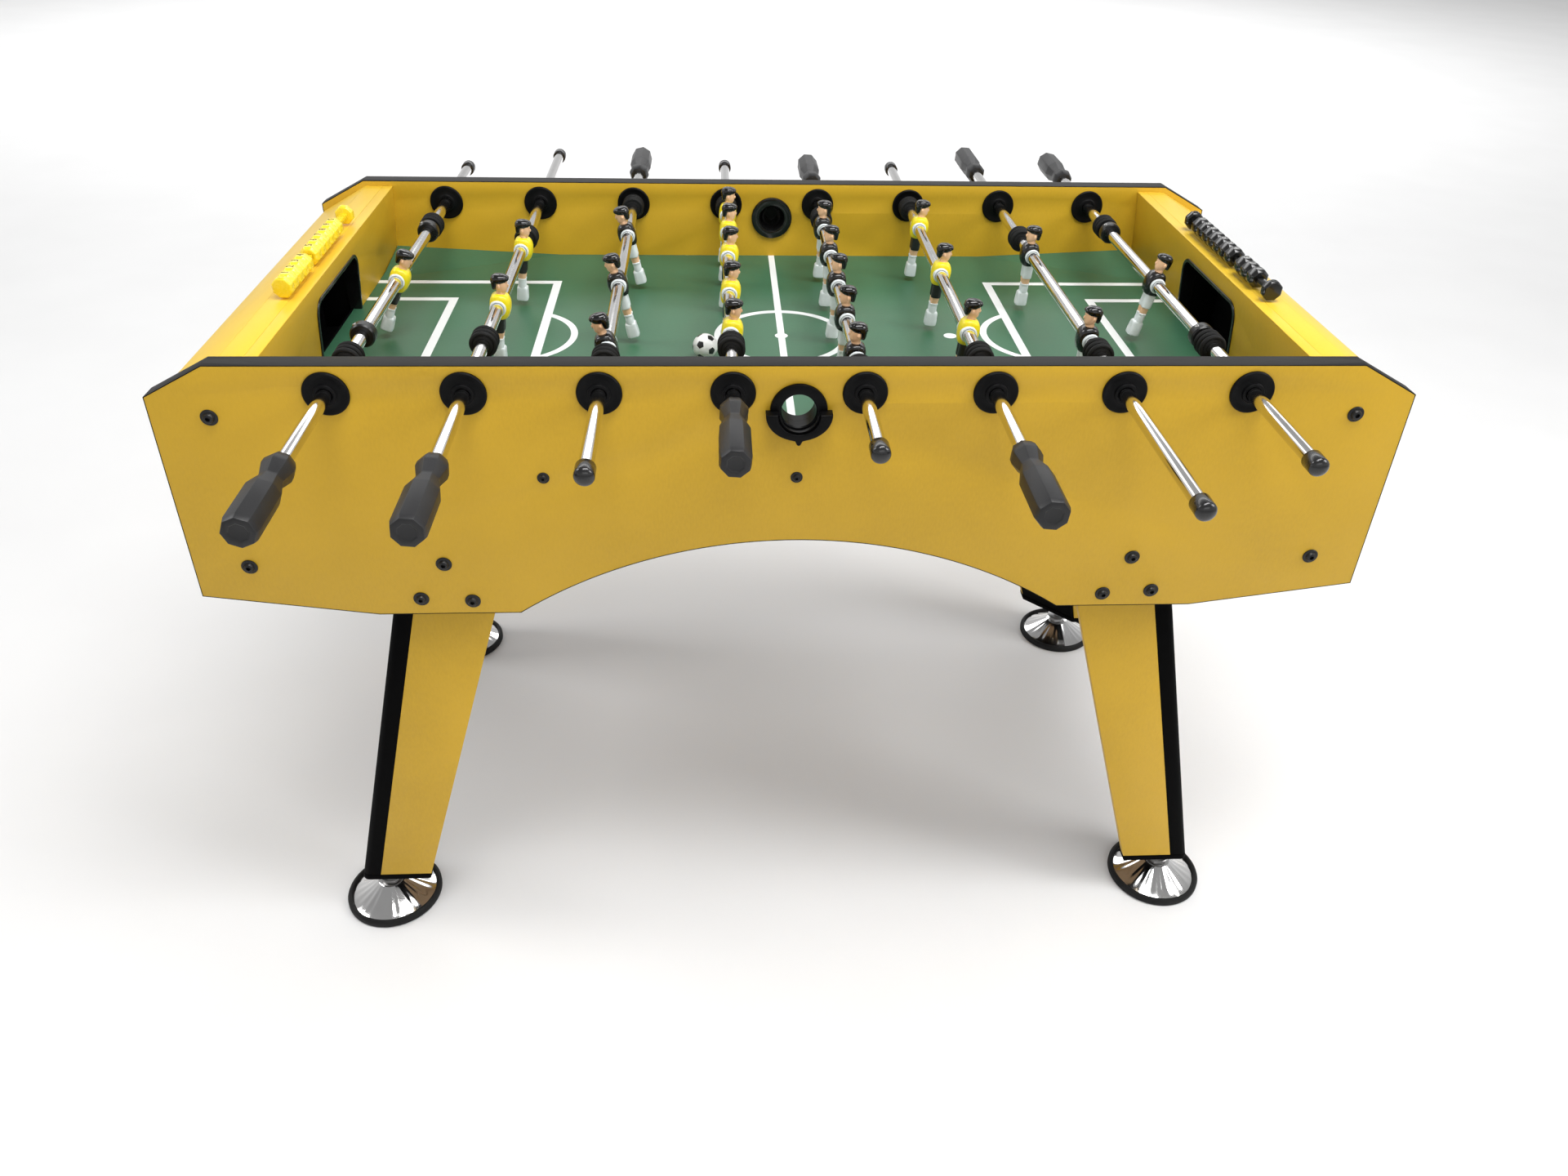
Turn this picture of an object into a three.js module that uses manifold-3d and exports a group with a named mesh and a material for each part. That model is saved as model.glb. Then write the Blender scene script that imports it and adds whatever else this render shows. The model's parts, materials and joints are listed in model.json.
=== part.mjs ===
// Foosball table: a laminate body on four splayed legs with levelling feet, a sunken pitch with a goal at
// each end, eight steel rods that slide and turn in the side panels, twenty-two men, two score counters,
// two ball cups and a ball.
// Millimetres, +Z up. The origin is on the floor under the middle of the table. X runs along the length,
// and -Y is the near side, where the first team's grips are.
import * as THREE from 'three';
import { ConvexGeometry } from 'three/addons/geometries/ConvexGeometry.js';
import { mergeVertices } from 'three/addons/utils/BufferGeometryUtils.js';
import Module from 'manifold-3d';

const wasm = await Module();
wasm.setup();

// ---- Driving dimensions ---------------------------------------------------------------------------
const fitGap = 0.3;                 // between two pieces that touch
const joinDepth = 1;                // pieces of one body reach this far into each other
const overcut = 1;                  // cutters run this far past what they cut

const tableLength = 1400;           // side panels, between their upper end corners
const bodyWidth = 710;              // over the outer faces of the side panels
const tableHeight = 880;            // floor to the top edge of the side panels

const panelThickness = 24;
const panelDepth = 326;             // top edge to the flat parts of the bottom edge
const topCornerLength = 69;         // the upper end corners are cut off on a slant
const topCornerDrop = 36;
const lowerCornerDepth = 296;       // top edge to the lower end corners
const lowerCornerLean = 6;          // the lower end corners stand out beyond the upper ones
const flatFromEnd = 197;            // the flat bottom edge starts this far from the upper end corner
const flatLength = 170;             // and is this long, up to the arch
const archRise = 102;

const rodCount = 8;
const rodDiameter = 15.9;
const rodWall = 1.6;
const rodDrop = 32;                 // rod axis below the top edge
const goalRodDistance = 79;         // goal wall to the first rod
const bearingClearance = 0.4;
const bearingDiameter = 50;
const bearingFlange = 4;            // thickness of the bearing's disc on either face of the panel
const bumperDiameter = 34;
const bumperLength = 24;
const collarDiameter = 30;
const collarLength = 16;
const capDiameter = 21;
const capLength = 24;
const gripDiameter = 35;
const gripLength = 126;
const gripEndWall = 10;
const tubeEndSlack = 4;             // the tube stops this far short of the bottom of the grip's bore
const wallMargin = 2;               // a man stops this far short of a bumper pressed against the wall

const pitchDrop = 114;              // playing surface below the top edge
const pitchThickness = 12;
const pitchUnderWall = 10;          // the pitch board reaches this far under the goal walls
const rampHeight = 13;              // raised corners of the pitch
const rampLength = 255;
const rampWidth = 115;
const rampInset = 2;                // the raised corners stop this far short of the goal wall's foot
const battenWidth = 40;
const battenDepth = 30;
const battenSpacing = 288;

const endBoxLength = 113;           // upper end corner of the panel to the goal wall's upper edge
const goalWallLean = 10;            // the goal wall leans in over the pitch
const endBoardThickness = 15;
const ledgeDrop = 8;                // ledge below the top edge
const ledgeWidth = 41.5;
const roofInset = 3;                // lower edge of the sloping roof board, in from the panel's end
const roofEndDrop = 46;             // and below the top edge
const endPanelInset = 23;
const endPanelDepth = 290;
const roofToEndPanel = 4;           // the end panel stops this far under the roof
const postSize = 40;
const postRise = 10;                // a post's foot, above the end panel's lower edge
const goalWidth = 196;
const goalHeadroom = 9;             // goal mouth's top, below the ledge board
const goalCornerRadius = 20;
const goalBoxDepth = 48;
const goalBoxWall = 4;
const goalBoxSink = 31;             // goal box floor below the playing surface

const legBottomHeight = 70;
const legTopHeight = 650;
const legBottomFromEnd = 84;        // outer face of the leg's foot, in from the upper end corner
const legLeanLength = 0.254;        // lean along the table, per millimetre of height
const legLeanWidth = 0.04;          // lean across the table, per millimetre of height
const legBottomWidth = 98;
const legTopWidth = 134;
const legBoardThickness = 20;
const legCornerBevel = 7;

const footDiameter = 137;
const footRingHeight = 12;
const footConeHeight = 32;
const footStemDiameter = 14;
const footStemInLeg = 45;
const footStemHoleSlack = 2;
const footRingBevel = 5;
const footNeckFlare = 10;           // the cone's top stands out this far from the stem
const footNutFlare = 13;
const footNutHeight = 6;
const footFromCornerLength = 29;    // foot axis, in from the leg's outer faces
const footFromCornerWidth = 37;

const cupDrop = 53;                 // ball cup axis below the top edge
const cupFlangeDiameter = 64;
const cupFlangeThickness = 4;
const cupBoreDiameter = 39;
const cupWall = 4;
const scoopReach = 15;
const scoopTipRadius = 37;
const scoopTipAngle = Math.PI / 9;  // either side of the tip, where the lip starts to reach down

const counterFromGoalWall = 21;     // counter rail, from the goal wall's upper edge
const counterCentre = -1;           // along the rail, from the table's middle
const counterLength = 294;
const counterBarDiameter = 7;
const bracketSize = 26;
const bracketDepth = 12;
const beadGap = 16;                 // between the parked and the sliding beads
const parkedSlack = 14;             // between the right rail's parked beads and its far bracket
const beadPitch = 21;
const beadDiameter = 25;
const beadLift = 1.5;               // beads clear the ledge
const beadEdge = 3;                 // bevel of a bead's rims
const beadSpace = 0.5;              // between two beads

const manHeadRadius = 9.5;
const manHeadHeight = 30;           // above the rod axis
const manNeckHalf = 5;
const manTorsoRadius = 14;
const manWidth = 28;                // along the rod
const manLegWidth = 16;             // along the rod
const manLegHalf = 6.5;             // half the legs' depth, front to back, at the shorts
const manKneeRise = 40;             // knee above the sole
const manAnkleHalf = 5;
const manAnkleRise = 25;            // ankle above the sole
const manBootFront = 8.5;
const manBootBack = 7;
const manBootHeight = 15;
const soleClearance = 7;            // between a hanging man's sole and the pitch

const ballDiameter = 34;
const ballX = -105;
const ballY = -77;

// Each rod, from left to right. Men, bumpers and collars are placed by their share of the reach: the stretch
// between the walls that a man's middle can use, from -1 at the near wall to 1 at the far wall. A wall bumper
// lies against the far wall. The ends are measured from the outer faces of the side panels. The men's heads
// lean towards +X by the swing, in degrees.
const rods = [
  { team: 'yellow', men: [-0.024], bumpers: [-0.913, 0.75], collars: [-0.672, 0.66], swing: 22,
    near: 279, far: 185 },
  { team: 'yellow', men: [-0.35, 0.404], bumpers: [-0.75, 0.575], collars: [], swing: 6, near: 281, far: 267 },
  { team: 'black', men: [-0.79, -0.077, 0.634], bumpers: [-0.93], wallBumper: true, collars: [], swing: -13,
    near: 189, far: 258 },
  { team: 'yellow', men: [-0.637, -0.174, 0.32, 0.69, 0.98], bumpers: [-0.8], wallBumper: true, collars: [],
    swing: 5, near: 161, far: 204 },
  { team: 'black', men: [-0.892, -0.481, -0.07, 0.341, 0.749], bumpers: [-1.035, 0.9], collars: [], swing: 3,
    near: 148, far: 222 },
  { team: 'yellow', men: [-0.63, 0.084, 0.774], bumpers: [-0.905], wallBumper: true, collars: [], swing: 6,
    near: 262, far: 202 },
  { team: 'black', men: [-0.714, 0.355], bumpers: [-0.87, 0.592], collars: [], swing: 3, near: 262, far: 281 },
  { team: 'black', men: [-0.05], bumpers: [-0.78, 0.795], collars: [-0.68, 0.7], swing: 13,
    near: 179, far: 247 },
];

// ---- Sizes that follow ----------------------------------------------------------------------------
const panelEndX = tableLength / 2;
const outerY = bodyWidth / 2;
const innerY = outerY - panelThickness;
const goalWallX = panelEndX - endBoxLength;
const rodSpacing = 2 * (goalWallX - goalRodDistance) / (rodCount - 1);
const rodHeight = tableHeight - rodDrop;
const pitchHeight = tableHeight - pitchDrop;
const pitchEndX = goalWallX + goalWallLean + pitchUnderWall;
const ledgeHeight = tableHeight - ledgeDrop;
const goalHeight = ledgeHeight - endBoardThickness - goalHeadroom - pitchHeight;
const cupHeight = tableHeight - cupDrop;
const rodReach = innerY - bearingFlange - bumperLength - manWidth / 2 - wallMargin;
const manFootDepth = rodHeight - pitchHeight - soleClearance;  // sole below the rod axis
const manKneeDepth = manFootDepth - manKneeRise;
const manAnkleDepth = manFootDepth - manAnkleRise;

// ---- Solids ---------------------------------------------------------------------------------------
const rodSides = 10;
const roundSides = 12;
const cupSides = 16;
const gripSides = 8;

// The grip's outline: share of its full radius, and distance from its collar end.
const gripOutline = [
  [0.72, 0],
  [0.92, 7],
  [0.92, 22],
  [0.68, 34],
  [0.72, 41],
  [1, 59],
  [1, gripLength - 9],
  [0.88, gripLength],
];

function bare(geometry) {
  const copy = geometry.clone();
  copy.deleteAttribute('normal');
  copy.deleteAttribute('uv');
  return mergeVertices(copy, 1e-3);
}

function solid(geometry) {
  const merged = bare(geometry);
  const vertProperties = new Float32Array(merged.attributes.position.array);
  const triVerts = new Uint32Array(merged.index.array);
  return new wasm.Manifold(new wasm.Mesh({ numProp: 3, vertProperties, triVerts }));
}

function geometryOf(body) {
  const { vertProperties, triVerts } = body.getMesh();
  const geometry = new THREE.BufferGeometry();
  geometry.setAttribute('position', new THREE.BufferAttribute(vertProperties, 3));
  geometry.setIndex(new THREE.BufferAttribute(triVerts, 1));
  return geometry;
}

function shapeOf(points) {
  return new THREE.Shape(points.map(([x, y]) => new THREE.Vector2(x, y)));
}

// A board whose outline lies in the XZ plane, between two distances across the table.
function acrossTable(shape, yLow, yHigh, curveSegments = 24) {
  const options = { depth: yHigh - yLow, bevelEnabled: false, curveSegments };
  const geometry = new THREE.ExtrudeGeometry(shape, options);
  return geometry.rotateX(Math.PI / 2).translate(0, yHigh, 0);
}

// A piece whose outline lies in the YZ plane, between two distances along the table.
function alongTable(shape, xLow, xHigh) {
  const options = { depth: xHigh - xLow, bevelEnabled: false, curveSegments: 6 };
  const geometry = new THREE.ExtrudeGeometry(shape, options);
  return geometry.rotateX(Math.PI / 2).rotateZ(Math.PI / 2).translate(xLow, 0, 0);
}

function block(low, high) {
  const size = high.map((value, i) => value - low[i]);
  const middle = high.map((value, i) => (value + low[i]) / 2);
  return new THREE.BoxGeometry(...size).translate(...middle);
}

// A round bar along Y.
function bar(radius, x, z, yLow, yHigh, sides = roundSides) {
  const geometry = new THREE.CylinderGeometry(radius, radius, yHigh - yLow, sides);
  return geometry.translate(x, (yLow + yHigh) / 2, z);
}

// A piece turned about the Y axis, from its [radius, y] profile.
function turned(profile, sides) {
  return new THREE.LatheGeometry(profile.map(([r, y]) => new THREE.Vector2(r, y)), sides);
}

// The radius that a polygon's corners need for its flats to clear a round piece.
function clearRadius(radius, sides) {
  return radius / Math.cos(Math.PI / sides);
}

// ---- Finishes -------------------------------------------------------------------------------------
function finish(color, roughness, metalness = 0) {
  return new THREE.MeshStandardMaterial({ color, roughness, metalness });
}

const yellowLaminate = () => finish('#d2a93a', 0.55);
const greenPitch = () => finish('#2f6b45', 0.6);
const chromedSteel = () => finish('#c9cccf', 0.15, 1);
const blackPlastic = () => finish('#151515', 0.4);
const greyGrip = () => finish('#3a3a3d', 0.75);
const teamPlastic = (team) => finish(team === 'yellow' ? '#f4dc28' : '#1b1b1b', 0.35);
const whiteBall = () => finish('#f2f2f0', 0.3);

const table = new THREE.Group();

function place(name, geometry, material, parent = table) {
  const mesh = new THREE.Mesh(geometry, material);
  mesh.name = name;
  parent.add(mesh);
  return mesh;
}

// ---- Side panels, with the rod bearings -----------------------------------------------------------
function sidePanelOutline() {
  const top = tableHeight;
  const bottom = tableHeight - panelDepth;
  const flatOuter = panelEndX - flatFromEnd;
  const flatInner = flatOuter - flatLength;
  const archRadius = (flatInner ** 2 + archRise ** 2) / (2 * archRise);
  const archCentre = bottom + archRise - archRadius;
  const archAngle = Math.atan2(bottom - archCentre, flatInner);
  const half = [
    [panelEndX - topCornerLength, top],
    [panelEndX, top - topCornerDrop],
    [panelEndX + lowerCornerLean, top - lowerCornerDepth],
    [flatOuter, bottom],
    [flatInner, bottom],
  ];
  const shape = new THREE.Shape();
  shape.moveTo(-half[0][0], half[0][1]);
  half.forEach(([x, z]) => shape.lineTo(x, z));
  shape.absarc(0, archCentre, archRadius, archAngle, Math.PI - archAngle, false);
  half.slice(1, 4).reverse().forEach(([x, z]) => shape.lineTo(-x, z));
  return shape;
}

function rodX(index) {
  return (index - (rodCount - 1) / 2) * rodSpacing;
}

function sidePanel(side) {
  const faces = [side * innerY, side * outerY].sort((a, b) => a - b);
  const proud = bearingFlange;
  const boreRadius = clearRadius(rodDiameter / 2 + bearingClearance, rodSides);
  let panel = solid(acrossTable(sidePanelOutline(), ...faces));
  rods.forEach((rod, index) => {
    const disc = bar(bearingDiameter / 2, rodX(index), rodHeight, faces[0] - proud, faces[1] + proud);
    panel = panel.add(solid(disc));
    if (rod.wallBumper && side > 0) {
      const yLow = innerY - proud - bumperLength;
      panel = panel.add(solid(bar(bumperDiameter / 2, rodX(index), rodHeight, yLow, innerY)));
    }
    const boreLow = faces[0] - proud - bumperLength - overcut;
    const boreHigh = faces[1] + proud + overcut;
    panel = panel.subtract(solid(bar(boreRadius, rodX(index), rodHeight, boreLow, boreHigh, rodSides)));
  });
  const holeRadius = clearRadius(cupBoreDiameter / 2 + cupWall + fitGap, cupSides);
  const cupHole = bar(holeRadius, 0, cupHeight, faces[0] - overcut, faces[1] + overcut, cupSides);
  return geometryOf(panel.subtract(solid(cupHole)));
}

// ---- Ball cups: a flanged bush through the panel. The near one is open and has a scoop on the outside, and
// the far one is closed by the bottom of its bowl.
function ballCup(side) {
  const bore = cupBoreDiameter / 2;
  const flange = cupFlangeDiameter / 2;
  const outside = outerY + fitGap;
  const inside = innerY - fitGap;
  const mouth = inside - cupFlangeThickness;
  const end = outside + cupFlangeThickness;
  const rim = [
    [bore, mouth],
    [flange, mouth],
    [flange, inside],
    [bore + cupWall, inside],
    [bore + cupWall, outside],
    [flange, outside],
    [flange, end],
  ];
  if (side > 0) {
    const bowl = [[0, end], [0, end - cupWall], [bore, end - cupWall], [bore, mouth]];
    return bare(turned([...rim, ...bowl], cupSides));
  }
  const scoop = new THREE.Shape();
  scoop.absarc(0, 0, flange, Math.PI, 1.5 * Math.PI - scoopTipAngle, false);
  scoop.lineTo(0, -scoopTipRadius);
  scoop.absarc(0, 0, flange, 1.5 * Math.PI + scoopTipAngle, 2 * Math.PI, false);
  scoop.absarc(0, 0, bore + cupWall, 2 * Math.PI, Math.PI, true);
  const ring = solid(turned([...rim, [bore, end], [bore, mouth]], cupSides));
  const lip = solid(acrossTable(scoop, outside, outside + scoopReach, cupSides / 4));
  return geometryOf(ring.add(lip)).rotateZ(Math.PI);
}

// ---- Pitch: a board with raised corners on three battens -------------------------------------------
function pitchBoard() {
  const edgeY = innerY - fitGap;
  const low = pitchHeight - pitchThickness;
  let board = solid(block([-pitchEndX, -edgeY, low], [pitchEndX, edgeY, pitchHeight]));
  const rampEndX = goalWallX + goalWallLean - rampInset;
  for (const sx of [-1, 1]) {
    for (const sy of [-1, 1]) {
      const corner = [[rampEndX - rampLength, edgeY], [rampEndX, edgeY], [rampEndX, edgeY - rampWidth]];
      const points = corner.map(([x, y]) => new THREE.Vector3(sx * x, sy * y, pitchHeight));
      const underHeight = pitchHeight - pitchThickness / 2;
      const under = corner.map(([x, y]) => new THREE.Vector3(sx * x, sy * y, underHeight));
      const peak = new THREE.Vector3(sx * rampEndX, sy * edgeY, pitchHeight + rampHeight);
      board = board.add(solid(new ConvexGeometry([...points, ...under, peak])));
    }
  }
  for (const step of [-1, 0, 1]) {
    const x = step * battenSpacing;
    const half = battenWidth / 2;
    const batten = block([x - half, -edgeY, low - battenDepth], [x + half, edgeY, low + joinDepth]);
    board = board.add(solid(batten));
  }
  return geometryOf(board);
}

// ---- Goal ends: leaning goal wall, ledge and sloping roof, with the goal box behind the mouth --------
function goalMouth(bottom) {
  const half = goalWidth / 2;
  const top = pitchHeight + goalHeight;
  const shape = new THREE.Shape();
  shape.moveTo(-half, bottom);
  shape.lineTo(half, bottom);
  shape.lineTo(half, top - goalCornerRadius);
  shape.absarc(half - goalCornerRadius, top - goalCornerRadius, goalCornerRadius, 0, Math.PI / 2, false);
  shape.absarc(goalCornerRadius - half, top - goalCornerRadius, goalCornerRadius, Math.PI / 2, Math.PI, false);
  return shape;
}

function goalEnd(side) {
  const edgeY = innerY - fitGap;
  const creaseX = goalWallX + ledgeWidth;
  const roofX = panelEndX - roofInset;
  const roofHeight = tableHeight - roofEndDrop;
  const wallFootX = goalWallX + goalWallLean;
  const underLedge = ledgeHeight - endBoardThickness;
  const section = shapeOf([
    [wallFootX, pitchHeight + fitGap],
    [wallFootX + endBoardThickness, pitchHeight + fitGap],
    [goalWallX + endBoardThickness + joinDepth, underLedge],
    [creaseX - endBoardThickness / 3, underLedge],
    [roofX, roofHeight - endBoardThickness],
    [roofX, roofHeight],
    [creaseX, ledgeHeight],
    [goalWallX, ledgeHeight],
  ]);
  const boxX = pitchEndX + fitGap;
  const boxY = goalWidth / 2 + goalBoxWall;
  const floor = pitchHeight - goalBoxSink;
  const inner = goalWidth / 2;
  const roomTop = pitchHeight + goalHeight;
  const boxShell = block([boxX, -boxY, floor], [boxX + goalBoxDepth, boxY, underLedge + joinDepth]);
  const roomEnd = boxX + goalBoxDepth - goalBoxWall;
  const room = block([boxX + goalBoxWall, -inner, floor + goalBoxWall], [roomEnd, inner, roomTop]);
  const mouth = alongTable(goalMouth(pitchHeight), goalWallX - overcut, boxX + goalBoxWall + overcut);
  let end = solid(acrossTable(section, -edgeY, edgeY)).add(solid(boxShell));
  end = end.subtract(solid(room)).subtract(solid(mouth));
  const geometry = geometryOf(end);
  return side > 0 ? geometry : geometry.rotateZ(Math.PI);
}

// ---- End panels: an upright board screwed to two corner posts ---------------------------------------
function endPanel(side) {
  const edgeY = innerY - fitGap;
  const outer = panelEndX - endPanelInset;
  const inner = outer - endBoardThickness;
  const bottom = tableHeight - endPanelDepth;
  const roofSlope = (roofEndDrop - ledgeDrop) / (panelEndX - roofInset - goalWallX - ledgeWidth);
  const roofOver = ledgeHeight - (outer - goalWallX - ledgeWidth) * roofSlope;
  const top = roofOver - endBoardThickness - roofToEndPanel;
  let panel = solid(block([inner, -edgeY, bottom], [outer, edgeY, top]));
  for (const sy of [-1, 1]) {
    const ys = [sy * edgeY, sy * (edgeY - postSize)].sort((a, b) => a - b);
    const post = block([inner - postSize, ys[0], bottom + postRise], [inner + joinDepth, ys[1], top]);
    panel = panel.add(solid(post));
  }
  const geometry = geometryOf(panel);
  return side > 0 ? geometry : geometry.rotateZ(Math.PI);
}

// ---- Legs: tapered, splayed, three-sided, bored for the foot's stem ---------------------------------
function legSection(height) {
  const rise = height - legBottomHeight;
  const share = rise / (legTopHeight - legBottomHeight);
  const outerX = panelEndX - legBottomFromEnd - legLeanLength * rise;
  const panelBottom = tableHeight - panelDepth;
  const outerLegY = innerY - fitGap + legLeanWidth * (panelBottom - height);
  const width = legBottomWidth + (legTopWidth - legBottomWidth) * share;
  const bevel = legCornerBevel;
  const board = legBoardThickness;
  return [
    [outerX, outerLegY - bevel],
    [outerX - bevel, outerLegY],
    [outerX - width, outerLegY],
    [outerX - width, outerLegY - board],
    [outerX - board, outerLegY - width],
    [outerX, outerLegY - width],
  ].map(([x, y]) => [x, y, height]);
}

function footAxis() {
  const [[cornerX], [, cornerY]] = legSection(legBottomHeight);
  return [cornerX - footFromCornerLength, cornerY - footFromCornerWidth];
}

function leg(sx, sy) {
  const points = [...legSection(legBottomHeight), ...legSection(legTopHeight)];
  const body = solid(new ConvexGeometry(points.map(([x, y, z]) => new THREE.Vector3(sx * x, sy * y, z))));
  const radius = clearRadius(footStemDiameter / 2 + fitGap, rodSides);
  const depth = footStemInLeg + footStemHoleSlack;
  const hole = new THREE.CylinderGeometry(radius, radius, depth + overcut, rodSides).rotateX(Math.PI / 2);
  const [x, y] = footAxis();
  hole.translate(sx * x, sy * y, legBottomHeight + (depth - overcut) / 2);
  return geometryOf(body.subtract(solid(hole)));
}

// ---- Levelling feet: rubber ring, chromed cone and threaded stem ------------------------------------
function foot() {
  const rim = footDiameter / 2;
  const stem = footStemDiameter / 2;
  const stemTop = legBottomHeight - fitGap + footStemInLeg;
  const nutTop = footConeHeight + footNutHeight;
  const profile = [
    [0, 0],
    [rim - footRingBevel, 0],
    [rim, footRingHeight / 3],
    [rim, footRingHeight * 2 / 3],
    [rim - footRingBevel, footRingHeight],
    [stem + footNeckFlare, footConeHeight],
    [stem + footNutFlare, footConeHeight],
    [stem + footNutFlare, nutTop],
    [stem, nutTop],
    [stem, stemTop],
    [0, stemTop],
  ];
  return turned(profile, roundSides).rotateX(Math.PI / 2);
}

// ---- Score counters: rail with its parked beads, and the beads that slide ----------------------------
function beadProfile(yStart, count, innerRadius) {
  const outer = beadDiameter / 2;
  const groove = outer - beadEdge;
  const points = [[innerRadius, yStart]];
  for (let i = 0; i < count; i += 1) {
    const y = yStart + i * beadPitch;
    points.push([groove, y], [outer, y + beadEdge]);
    points.push([outer, y + beadPitch - beadEdge], [groove, y + beadPitch - beadSpace]);
  }
  points.push([innerRadius, yStart + count * beadPitch - beadSpace]);
  return points;
}

const counterLow = counterCentre - counterLength / 2;
const counterHigh = counterCentre + counterLength / 2;
const beadSides = 8;

function counterRail(parkedStart, parkedCount) {
  const barRadius = counterBarDiameter / 2;
  const profile = [[0, counterLow + joinDepth], [barRadius, counterLow + joinDepth]];
  profile.push(...beadProfile(parkedStart, parkedCount, barRadius));
  profile.push([barRadius, counterHigh - joinDepth], [0, counterHigh - joinDepth]);
  const half = bracketSize / 2;
  const lift = beadDiameter / 2 + beadLift;
  let rail = solid(turned(profile, beadSides).rotateY(Math.PI / beadSides));
  for (const yLow of [counterLow, counterHigh - bracketDepth]) {
    rail = rail.add(solid(block([-half, yLow, -lift], [half, yLow + bracketDepth, half])));
  }
  return geometryOf(rail);
}

function slidingBeads(start, count) {
  const radius = clearRadius(counterBarDiameter / 2 + fitGap, beadSides);
  const profile = beadProfile(start, count, radius);
  return bare(turned([...profile, profile[0]], beadSides).rotateY(Math.PI / beadSides));
}

// ---- Rods: one tube with its end cap, bumpers and clamped collars -------------------------------------
function rodTube(rod) {
  const gripNear = rod.team === 'yellow';
  const radius = rodDiameter / 2;
  const capEnd = outerY + (gripNear ? rod.far : rod.near);
  const capStart = capEnd - capLength;
  const gripEnd = outerY + (gripNear ? rod.near : rod.far) - gripEndWall - tubeEndSlack;
  const towardsCap = gripNear ? 1 : -1;
  const ring = (share, length, diameter) => [share * rodReach * towardsCap, length, diameter / 2];
  const rings = [
    ...rod.bumpers.map((share) => ring(share, bumperLength, bumperDiameter)),
    ...rod.collars.map((share) => ring(share, collarLength, collarDiameter)),
  ].sort((a, b) => a[0] - b[0]);
  const bore = radius - rodWall;
  const profile = [[0, capStart], [bore, capStart], [bore, -gripEnd], [radius, -gripEnd]];
  for (const [y, length, ringRadius] of rings) {
    profile.push([radius, y - length / 2], [ringRadius, y - length / 2]);
    profile.push([ringRadius, y + length / 2], [radius, y + length / 2]);
  }
  const cap = capDiameter / 2;
  const domeHeight = cap / 2;
  profile.push([radius, capStart], [cap, capStart], [cap, capEnd - domeHeight]);
  profile.push([cap * 0.7, capEnd - domeHeight / 4], [0, capEnd]);
  const tube = turned(profile, rodSides);
  return gripNear ? tube : tube.rotateZ(Math.PI);
}

function grip(rod) {
  const gripNear = rod.team === 'yellow';
  const end = outerY + (gripNear ? rod.near : rod.far);
  const start = end - gripLength;
  const bore = clearRadius(rodDiameter / 2 + fitGap, gripSides);
  const full = gripDiameter / 2;
  const boreEnd = -end + gripEndWall;
  const outside = gripOutline.map(([share, distance]) => [full * share, -start - distance]);
  const inside = [[0, -end], [0, boreEnd], [bore, boreEnd], [bore, -start]];
  const profile = [[bore, -start], ...outside, ...inside].reverse();
  const handle = bare(turned(profile, gripSides).rotateY(Math.PI / gripSides));
  return gripNear ? handle : handle.rotateZ(Math.PI);
}

// ---- Men: head, barrel torso round the rod, legs and boots --------------------------------------------
function man() {
  const legs = shapeOf([
    [-manLegHalf, 0],
    [manLegHalf, 0],
    [manLegHalf, -manKneeDepth],
    [manAnkleHalf, -manAnkleDepth],
    [manBootFront, manBootHeight - manFootDepth],
    [manBootFront, -manFootDepth],
    [-manBootBack, -manFootDepth],
    [-manBootBack, manBootHeight - manFootDepth],
    [-manAnkleHalf, -manAnkleDepth],
    [-manLegHalf, -manKneeDepth],
  ]);
  const half = manWidth / 2;
  const neckSize = 2 * manNeckHalf;
  const torso = new THREE.CylinderGeometry(manTorsoRadius, manTorsoRadius, manWidth, rodSides);
  const head = new THREE.SphereGeometry(manHeadRadius, 6, 4);
  head.rotateX(Math.PI / 2).translate(0, 0, manHeadHeight);
  const neck = new THREE.BoxGeometry(neckSize, neckSize, manHeadHeight).translate(0, 0, manHeadHeight / 2);
  const body = solid(acrossTable(legs, -manLegWidth / 2, manLegWidth / 2))
    .add(solid(torso))
    .add(solid(neck))
    .add(solid(head));
  const boreRadius = clearRadius(rodDiameter / 2 + fitGap, rodSides);
  return geometryOf(body.subtract(solid(bar(boreRadius, 0, 0, -half - overcut, half + overcut, rodSides))));
}

// ---- Assembly -----------------------------------------------------------------------------------------
const sides = [['near', -1], ['far', 1]];
const ends = [['left', -1], ['right', 1]];

place('pitch_board', pitchBoard(), greenPitch());
for (const [sideName, side] of sides) {
  place(`${sideName}_side_panel`, sidePanel(side), yellowLaminate());
  place(`${sideName}_ball_cup`, ballCup(side), blackPlastic()).position.set(0, 0, cupHeight);
}
for (const [endName, end] of ends) {
  place(`${endName}_goal_end`, goalEnd(end), yellowLaminate());
  place(`${endName}_end_panel`, endPanel(end), yellowLaminate());
  for (const [sideName, side] of sides) {
    const [x, y] = footAxis();
    place(`${sideName}_${endName}_leg`, leg(end, side), yellowLaminate());
    place(`${sideName}_${endName}_foot`, foot(), chromedSteel()).position.set(end * x, side * y, 0);
  }
}

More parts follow.
